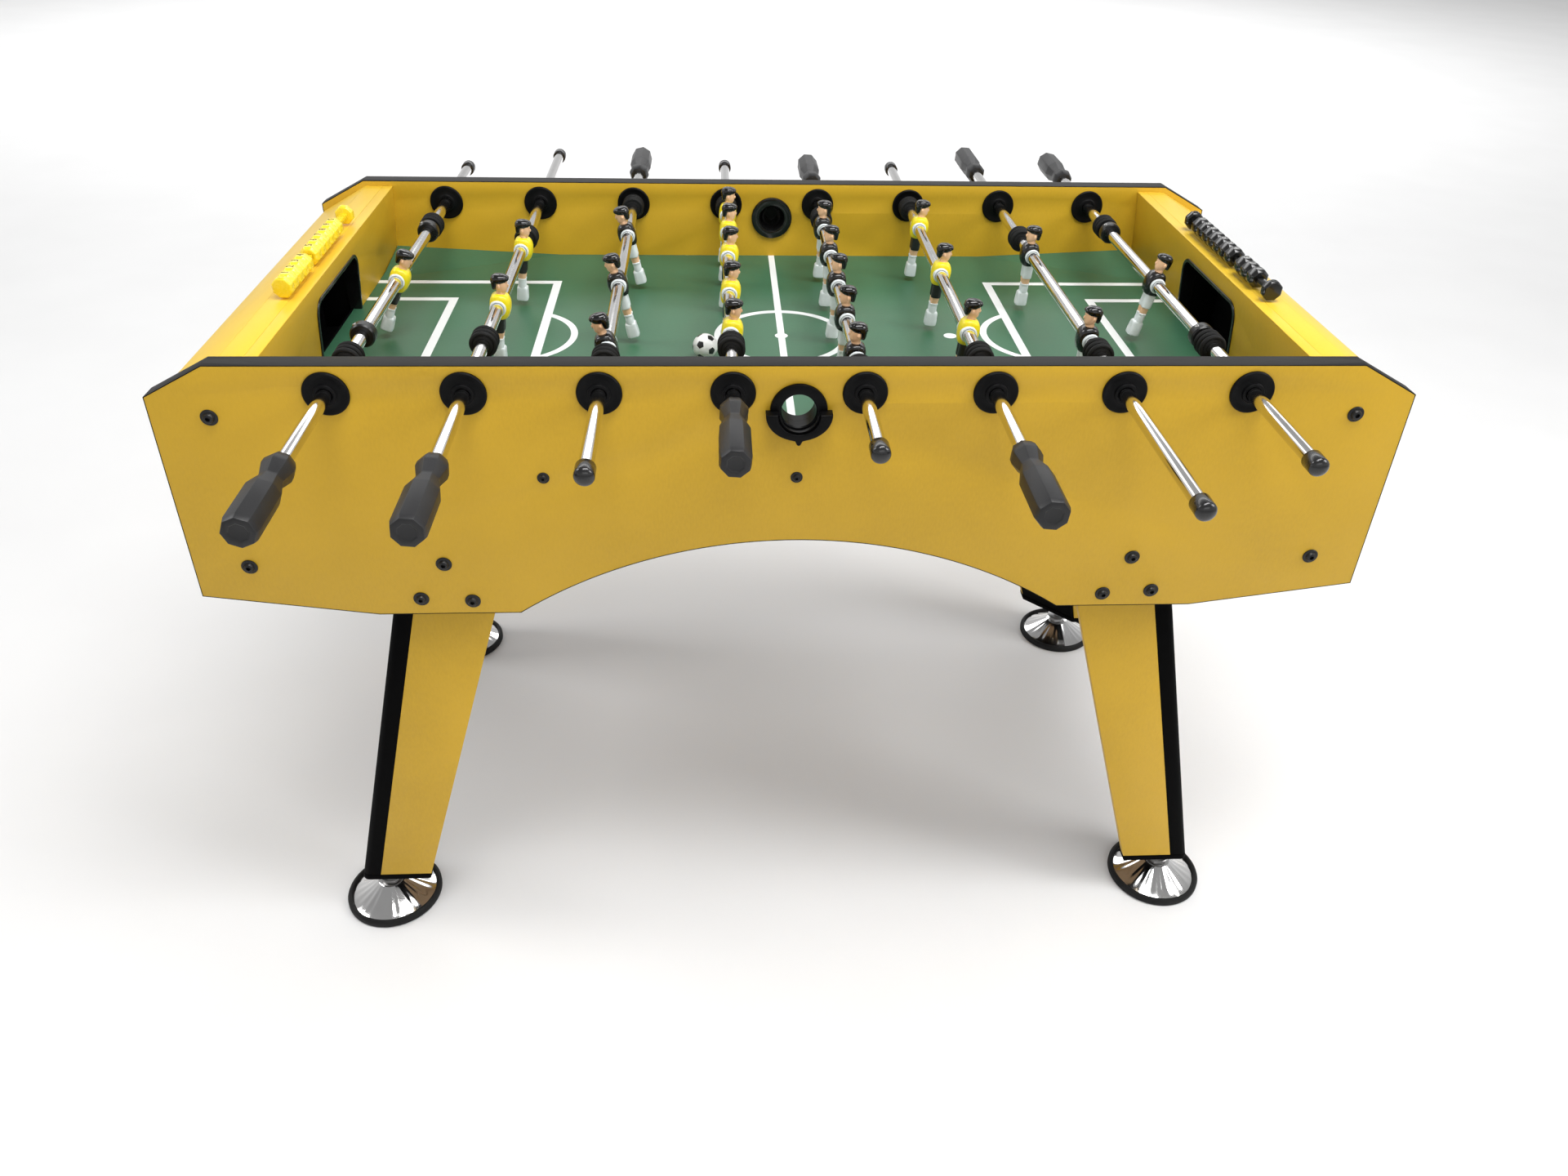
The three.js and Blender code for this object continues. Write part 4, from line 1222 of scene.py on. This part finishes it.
for number, (rod, spot) in enumerate(zip(rods, rod_places), 1):
    name = f"rod_{number}"
    low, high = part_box(f"{name}_tube")
    way = 1 if rod["team"] == "yellow" else -1
    cap_end = high.y if way > 0 else low.y
    tube_end = low.y if way > 0 else high.y
    away = along_far if way > 0 else across
    tube_length = abs(cap_end - tube_end) - cap_length + cap_overlap
    tube = [(tube_bore, 0), (tube_bore, tube_length), (rod_radius, tube_length), (rod_radius, 0),
            (tube_bore, 0)]
    tube_mesh = lathed(tube, round_steps, Matrix.Translation((spot.x, tube_end, rod_height)) @ away)
    piece(f"{name}_steel_tube", tube_mesh, [chrome], name, "rod_steel", f"{name}_tube")
    dome = [(r, (h - cap_radius) * cap_dome) for r, h in arc(cap_radius, 0, 81, 9)]
    cap = [(rod_radius + 0.0001, -cap_length), (cap_radius - 0.0008, -cap_length),
           (cap_radius, -cap_length + 0.001), *dome, (0, 0)]
    cap_mesh = lathed(cap, 48, Matrix.Translation((spot.x, cap_end, rod_height)) @ away, 50)
    piece(f"{name}_cap", cap_mesh, [cap_black], name, "black_plastic")
    distances = [share * reach for share in rod["bumpers"]]
    bumpers(name, spot.x, distances, name)
    if rod.get("wall"):
        bumpers(f"{name}_wall", spot.x, [wall_bumper_y], "table")
    if "collars" in rod:
        shape = bmesh.new()
        screws = bmesh.new()
        for share in rod["collars"]:
            centre = Matrix.Translation((spot.x, share * reach, rod_height))
            turned(shape, collar_profile, round_steps, centre @ along_far)
            turned(screws, collar_screw, 20, centre @ screw_turn)
        piece(f"{name}_collars", finished(shape), [collar_black], name, "black_plastic")
        piece(f"{name}_collar_screws", finished(screws), [zinc], name, "rod_steel")

# ---- Grips --------------------------------------------------------------------------------------------
# Eight-sided moulded handles in dark grey, with a collar, a waist and a body that swells towards the end.
# Each is pushed onto its tube and turns with the men.
grip_radius = 0.0175
grip_bore = 0.0084
grip_outline = [(0.73, 0), (0.92, 0.010), (0.93, 0.018), (0.69, 0.0345), (0.69, 0.038), (0.99, 0.058),
                (1.0, 0.061), (1.0, grip_length - 0.007), (0.90, grip_length)]
grip_end = grip_length - 0.0008
grip_profile = [(grip_bore, 0), *[(grip_radius * share, distance) for share, distance in grip_outline],
                (grip_radius * 0.55, grip_length), (grip_radius * 0.5, grip_end), (0, grip_end)]
bore_end = grip_length - 0.010
grip_inside = [(grip_bore, 0), (grip_bore, bore_end), (0, bore_end)]
grip_edge = 0.0004
grip_grey = moulded("grip_grey", (0.011, 0.011, 0.012), 0.4, 1400, 0.00008, 0.42)
for number, (rod, spot) in enumerate(zip(rods, rod_places), 1):
    name = f"rod_{number}"
    low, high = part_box(f"{name}_grip")
    way = -1 if rod["team"] == "yellow" else 1
    start = high.y if way < 0 else low.y
    swing = Matrix.Rotation(math.radians(rod["swing"]), 4, "Y")
    outwards = (along_far if way > 0 else across) @ Matrix.Rotation(math.pi / 8, 4, "Z")
    place = Matrix.Translation((spot.x, start, rod_height)) @ swing @ outwards
    shape = bmesh.new()
    for profile in (grip_profile, grip_inside):
        turned(shape, profile, 8, place)
    grip = eased(finished(shape, 20), grip_edge, 24)
    piece(f"{name}_handle", grip, [grip_grey], f"{name}_players", "grip_grey", f"{name}_grip")

# ---- Men ----------------------------------------------------------------------------------------------
# Painted plastic players clamped on the rods: swept black hair, a shirt round a white sleeve, shorts, bare
# knees, white socks and block boots hollowed front and back to hold the ball.
man_steps = 28


def skin_of(shape, sections, material, levels=4, wave=None):
    """A smooth closed form through level sections: height, centre x and y, radius x and y, squareness."""
    rows = []
    last = len(sections) - 1
    for i in range(last * levels + 1):
        at = i / levels
        base = min(int(at), last - 1)
        share = at - base
        around = [sections[max(0, min(last, base + k))] for k in (-1, 0, 1, 2)]
        values = []
        for a, b, c, d in zip(*around):
            slope_b, slope_c = (c - a) / 2, (d - b) / 2
            values.append(b + share * (slope_b + share * (3 * (c - b) - 2 * slope_b - slope_c
                                                          + share * (2 * (b - c) + slope_b + slope_c))))
        z, x, y, rx, ry, square = values
        row = []
        for k in range(man_steps):
            turn = math.tau * k / man_steps
            across_turn, along_turn = math.cos(turn), math.sin(turn)
            reach_out = (abs(across_turn) ** square + abs(along_turn) ** square) ** (-1 / square)
            if wave:
                reach_out *= 1 + wave * math.sin(9 * turn + 600 * z)
            row.append(shape.verts.new((x + max(rx, 0.0002) * reach_out * across_turn,
                                        y + max(ry, 0.0002) * reach_out * along_turn, z)))
        rows.append(row)
    for low, high in zip(rows, rows[1:]):
        for k in range(man_steps):
            corners = (low[k], low[(k + 1) % man_steps], high[(k + 1) % man_steps], high[k])
            shape.faces.new(corners).material_index = material
    for row in (rows[0], rows[-1]):
        shape.faces.new(row).material_index = material
    return rows


def lump(shape, centre, size, material):
    """A small rounded feature, such as an ear."""
    made = bmesh.ops.create_icosphere(shape, subdivisions=2, radius=1, matrix=Matrix.Translation(centre)
                                      @ Matrix.Diagonal((*size, 1)))
    for face in {f for v in made["verts"] for f in v.link_faces}:
        face.material_index = material


def man_mesh():
    """One man about the rod's axis, facing +X. Paints: hair, skin, shirt, sleeve, shorts, sock and boot."""
    hair, skin, shirt, sleeve, shorts, sock = range(6)
    shape = bmesh.new()
    mm = 0.001

    def form(rows, material, levels=4, wave=None):
        scaled = [(z * mm, x * mm, y * mm, rx * mm, ry * mm, square) for z, x, y, rx, ry, square in rows]
        return skin_of(shape, scaled, material, levels, wave)

    form([(16.4, 1.2, 0, 4, 5, 2), (16, 1.2, 0, 6.5, 8.8, 2.3), (13.5, 1.4, 0, 10.2, 11.4, 2.8),
          (7, 1.8, 0, 12.8, 12.2, 3), (-2, 1.8, 0, 13.2, 12.2, 3.2), (-9, 1.4, 0, 12.2, 11.8, 3),
          (-13.5, 1, 0, 10.4, 11, 2.8), (-15.2, 0.8, 0, 8.4, 9.6, 2.5), (-15.4, 0.8, 0, 6, 7, 2.4)], shirt)
    collar = [(8.3, -14.2), (9.3, -14.2), (10.1, -13.6), (10.3, -12.4), (10.3, 12.4), (10.1, 13.6),
              (9.3, 14.2), (8.3, 14.2)]
    turned(shape, [(r * mm, y * mm) for r, y in [*collar, collar[0]]], 36, along_far, sleeve)
    form([(13, 1.5, 0, 6, 6, 2), (18, 2, 0, 5.4, 5.4, 2), (23, 2, 0, 5.4, 5.4, 2)], skin, 3)
    form([(17.8, 4.6, 0, 1.5, 2, 2), (18.6, 4.2, 0, 4.2, 4.2, 2.1), (21.2, 3.2, 0, 6.6, 5.9, 2.2),
          (25.5, 2, 0, 8.2, 7.3, 2.2), (30, 1.2, 0, 8.9, 7.9, 2.2), (34.5, 0.6, 0, 8.8, 7.8, 2.1),
          (38.2, 0, 0, 6.2, 5.6, 2), (39.4, 0, 0, 2, 2, 2)], skin)
    lump(shape, (10.3 * mm, 0, 26.8 * mm), (1.8 * mm, 1.25 * mm, 2.4 * mm), skin)
    lump(shape, (9.3 * mm, 0, 30.8 * mm), (1.1 * mm, 4.6 * mm, 0.9 * mm), skin)
    lump(shape, (9.1 * mm, 0, 22.4 * mm), (0.8 * mm, 2.4 * mm, 0.7 * mm), skin)
    for side in (-1, 1):
        lump(shape, (0.6 * mm, side * 7.9 * mm, 27.2 * mm), (1.7 * mm, 1.1 * mm, 2.9 * mm), skin)
    form([(30.2, -1.4, 0, 8.2, 7.8, 2.2), (31.4, -0.8, 0, 9.8, 8.7, 2.2), (34.6, 0.3, 0, 10.5, 9, 2.3),
          (37.8, 0.7, 0, 9.6, 8.2, 2.3), (39.9, 0.9, 0, 6.9, 6, 2.2), (40.5, 0.9, 0, 2.5, 2.5, 2)],
         hair, 5, 0.018)
    form([(21.6, -5.6, 0, 1.6, 4.5, 2), (22.6, -5.4, 0, 3.2, 6.4, 2.2), (28, -4.6, 0, 5, 7.6, 2.3),
          (33.4, -3.6, 0, 6.2, 8.2, 2.3), (36.6, -2.4, 0, 5, 6.4, 2.2)], hair, 4, 0.015)
    form([(33, 8.6, 0, 1.6, 4.6, 2.2), (34.4, 8.6, 0, 3.2, 6, 2.4), (37, 7.6, 0, 4.4, 6.2, 2.4),
          (39.4, 5, 0, 4.6, 5.4, 2.2), (40.6, 2.8, 0, 3, 3.6, 2)], hair, 4, 0.02)
    for side in (-1, 1):
        form([(-9, 0.4, side * 4.6, 7, 5.2, 2.6), (-17, 0.4, side * 4.8, 6.9, 5.2, 2.6),
              (-28, 0.4, side * 4.9, 6.8, 5, 2.6), (-33, 0.4, side * 4.9, 6.5, 4.8, 2.6),
              (-33.8, 0.4, side * 4.9, 5.4, 3.8, 2.4)], shorts)
        form([(-32, 0.3, side * 4.6, 5.2, 3.8, 2.1), (-36, 0.4, side * 4.3, 5.6, 3.9, 2.1),
              (-41, 0.2, side * 4.0, 5.2, 3.6, 2.1), (-46, 0.1, side * 3.8, 5, 3.5, 2.1)], skin, 3)
        form([(-41.8, 0.1, side * 3.8, 4.6, 3.6, 2.1), (-42.4, 0.1, side * 3.8, 5.7, 4.3, 2.1),
              (-44.2, 0.1, side * 3.8, 5.8, 4.4, 2.1), (-45.2, 0.1, side * 3.8, 5.3, 4, 2.1),
              (-50, 0.2, side * 3.7, 5.4, 4.2, 2.1), (-57, 0.4, side * 3.6, 5.2, 4.1, 2.2)], sock, 3)
    boot = form([(-54.2, 0.5, 0, 5, 5.8, 2.8), (-54.8, 0.6, 0, 6.4, 6.9, 3.6), (-56.8, 0.7, 0, 7.7, 7.8, 4.4),
                 (-63, 0.8, 0, 8.1, 8.2, 5), (-70, 0.9, 0, 8.3, 8.3, 5), (-73.8, 0.9, 0, 8.1, 8.2, 4.6),
                 (-74.8, 0.9, 0, 7.3, 7.5, 4)], sock, 4)
    for row in boot:
        for vertex in row:
            hollow = math.exp(-((vertex.co.z / mm + 63.5) / 4.8) ** 2 - (vertex.co.y / mm / 4) ** 2)
            vertex.co.x -= math.copysign(1.5 * mm * hollow, vertex.co.x - mm)
    return finished(shape, 42)


def paint(name, colour, roughness, wear=0.06):
    """Hand-sprayed paint on plastic: slightly uneven, with a soft gloss."""
    finish = Finish(name)
    spray = finish.noise(180, 4)
    drift = finish.noise(30, 3)
    tone = spray * 0.5 + drift * 0.5
    base = finish.ramp(tone, (0.3, shaded(colour, 1 - wear)), (0.7, shaded(colour, 1 + wear)))
    return finish.coat(
        Base_Color=base,
        Roughness=roughness - 0.04 + spray * 0.1,
        Normal=finish.bump(spray, 0.00003),
        Coat_Weight=0.2,
    )


hair_paint = paint("hair_paint", (0.004, 0.004, 0.004), 0.13, 0.3)
skin_paint = paint("skin_paint", (0.86, 0.53, 0.31), 0.38)
white_plastic = paint("white_plastic", (0.74, 0.79, 0.80), 0.32)
yellow_shirt = paint("yellow_shirt", (0.86, 0.70, 0.012), 0.34)
black_shirt = paint("black_shirt", (0.007, 0.007, 0.007), 0.2, 0.3)
black_shorts = paint("black_shorts", (0.008, 0.008, 0.0085), 0.45, 0.3)
kits = {
    "yellow": [hair_paint, skin_paint, yellow_shirt, white_plastic, black_shorts, white_plastic],
    "black": [hair_paint, skin_paint, black_shirt, white_plastic, white_plastic, white_plastic],
}
one_man = man_mesh()
for number, (rod, spot) in enumerate(zip(rods, rod_places), 1):
    men = [n for n in frame["record"]["behaviour"]["bodies"][f"rod_{number}_players"] if "_man_" in n]
    for node_name in men:
        low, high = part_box(node_name)
        facing = Matrix.Identity(4) if rod["team"] == "yellow" else Matrix.Rotation(math.pi, 4, "Z")
        swung = Matrix.Rotation(math.radians(rod["swing"]), 4, "Y")
        man = one_man.copy()
        man.transform(Matrix.Translation((spot.x, (low.y + high.y) / 2, rod_height)) @ swung @ facing)
        piece(node_name.replace("man", "player"), man, kits[rod["team"]], f"rod_{number}_players",
              f"{rod['team']}_men", node_name)

# ---- Ball ---------------------------------------------------------------------------------------------
# A small moulded football: twelve black five-sided panels among twenty white six-sided ones, with a shallow
# seam between them.
ball_low, ball_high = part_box("ball")
ball_centre = (ball_low + ball_high) / 2
ball_radius = (ball_high.z - ball_low.z) / 2
seam_depth = 0.00028
seam_width = 0.0005


def football():
    """The ball: an icosahedron with its corners cut to a third, its faces inset for the seams."""
    shape = bmesh.new()
    bmesh.ops.create_icosphere(shape, subdivisions=1, radius=1)
    bmesh.ops.bevel(shape, geom=shape.verts[:], offset=100 / 3, offset_type="PERCENT", affect="VERTICES",
                    segments=1)
    for face in shape.faces:
        face.material_index = 1 if len(face.verts) == 5 else 0
    patches = bmesh.ops.inset_individual(shape, faces=shape.faces[:], thickness=seam_width / ball_radius)
    seams = set(patches["faces"])
    for face in seams:
        face.material_index = 2
    bmesh.ops.triangulate(shape, faces=[f for f in shape.faces if f not in seams], quad_method="BEAUTY")
    bmesh.ops.subdivide_edges(shape, edges=shape.edges[:], cuts=5, use_grid_fill=True)
    for vertex in shape.verts:
        in_seam = all(f.material_index == 2 for f in vertex.link_faces)
        vertex.co = vertex.co.normalized() * (ball_radius - (seam_depth if in_seam else 0))
    for face in shape.faces:
        face.material_index = min(face.material_index, 1) if face.material_index != 2 else 0
    bmesh.ops.transform(shape, matrix=Matrix.Translation(ball_centre)
                        @ Matrix.Rotation(math.radians(35), 4, (0.4, 0.5, 0.2)), verts=shape.verts)
    return finished(shape, 30)


ball_white = glossy("ball_white", (0.80, 0.80, 0.79), 0.28)
ball_black = glossy("ball_black", (0.009, 0.009, 0.01), 0.28)
piece("football", football(), [ball_white, ball_black], "ball", "ball_white", "ball")

# ---- Studio -------------------------------------------------------------------------------------------
# A plain pale floor, soft lights overhead, on both sides, in front and behind, and a camera a step back from
# the near side, above the table.
bpy.data.objects.remove(bolt_head_part)
floor_half = 40.0
floor_corners = [(-floor_half, -floor_half), (floor_half, -floor_half), (floor_half, floor_half),
                 (-floor_half, floor_half)]
shape = bmesh.new()
shape.faces.new([shape.verts.new((*corner, 0)) for corner in floor_corners])
floor_mesh = bpy.data.meshes.new("studio_floor")
shape.to_mesh(floor_mesh)
shape.free()
paper = Finish("floor_paper")
paper_tone = paper.ramp(paper.noise(3, 2), (0.3, (0.84, 0.84, 0.84)), (0.7, (0.86, 0.86, 0.86)))
floor_mesh.materials.append(paper.coat(Base_Color=paper_tone, Roughness=0.9, Specular_IOR_Level=0.1))
studio_floor = shown("studio_floor", floor_mesh)


def soft_light(name, place, target, size, power):
    """A rectangular light that faces its target."""
    light = bpy.data.lights.new(name, "AREA")
    light.shape = "RECTANGLE"
    light.size, light.size_y = size
    light.energy = power
    lamp = shown(name, light)
    lamp.location = place
    lamp.rotation_euler = (Vector(target) - Vector(place)).to_track_quat("-Z", "Y").to_euler()


soft_light("overhead_light", (0.5, -0.7, 3.4), (0, 0.1, 0.7), (2.4, 0.9), 78)
soft_light("left_light", (-3.0, 0.4, 3.0), (0, 0, 0.6), (1.2, 1.2), 34)
soft_light("right_light", (3.2, -1.2, 2.8), (0, 0, 0.6), (1.4, 1.4), 52)
soft_light("back_light", (0, 6.5, 4.2), (0, 7.5, 0), (10, 5), 420)
soft_light("front_light", (0.6, -4.2, 2.4), (0, 0, 0.5), (3.0, 1.0), 14)
world = bpy.data.worlds.new("studio")
world.use_nodes = True
sky_nodes = world.node_tree.nodes
sky_links = world.node_tree.links
direction = sky_nodes.new("ShaderNodeTexCoord")
rise = sky_nodes.new("ShaderNodeSeparateXYZ")
sky = sky_nodes.new("ShaderNodeValToRGB")
sky_links.new(direction.outputs["Generated"], rise.inputs[0])
sky_links.new(rise.outputs["Z"], sky.inputs["Fac"])
sky_links.new(sky.outputs["Color"], sky_nodes["Background"].inputs["Color"])
for element, (height, tone) in zip(sky.color_ramp.elements, ((0.0, 0.8), (0.7, 0.32))):
    element.position = height
    element.color = (tone, tone, tone, 1)
bpy.context.scene.world = world
bpy.context.scene.view_settings.view_transform = "Standard"

focal_ratio = 1395.9 / 1920
camera_data = bpy.data.cameras.new("camera")
camera_data.sensor_width = 36
camera_data.lens = focal_ratio * camera_data.sensor_width
camera = shown("camera", camera_data)
heading = Matrix.Rotation(math.radians(-3.958), 4, "Z")
pitch_down = Matrix.Rotation(math.radians(-35.077), 4, "X")
roll = Matrix.Rotation(math.radians(-1.613), 4, "Y")
camera.matrix_world = (Matrix.Translation((-0.0899, -1.4968, 1.3902)) @ heading @ pitch_down @ roll
                       @ Matrix.Rotation(math.radians(90), 4, "X"))
bpy.context.scene.camera = camera
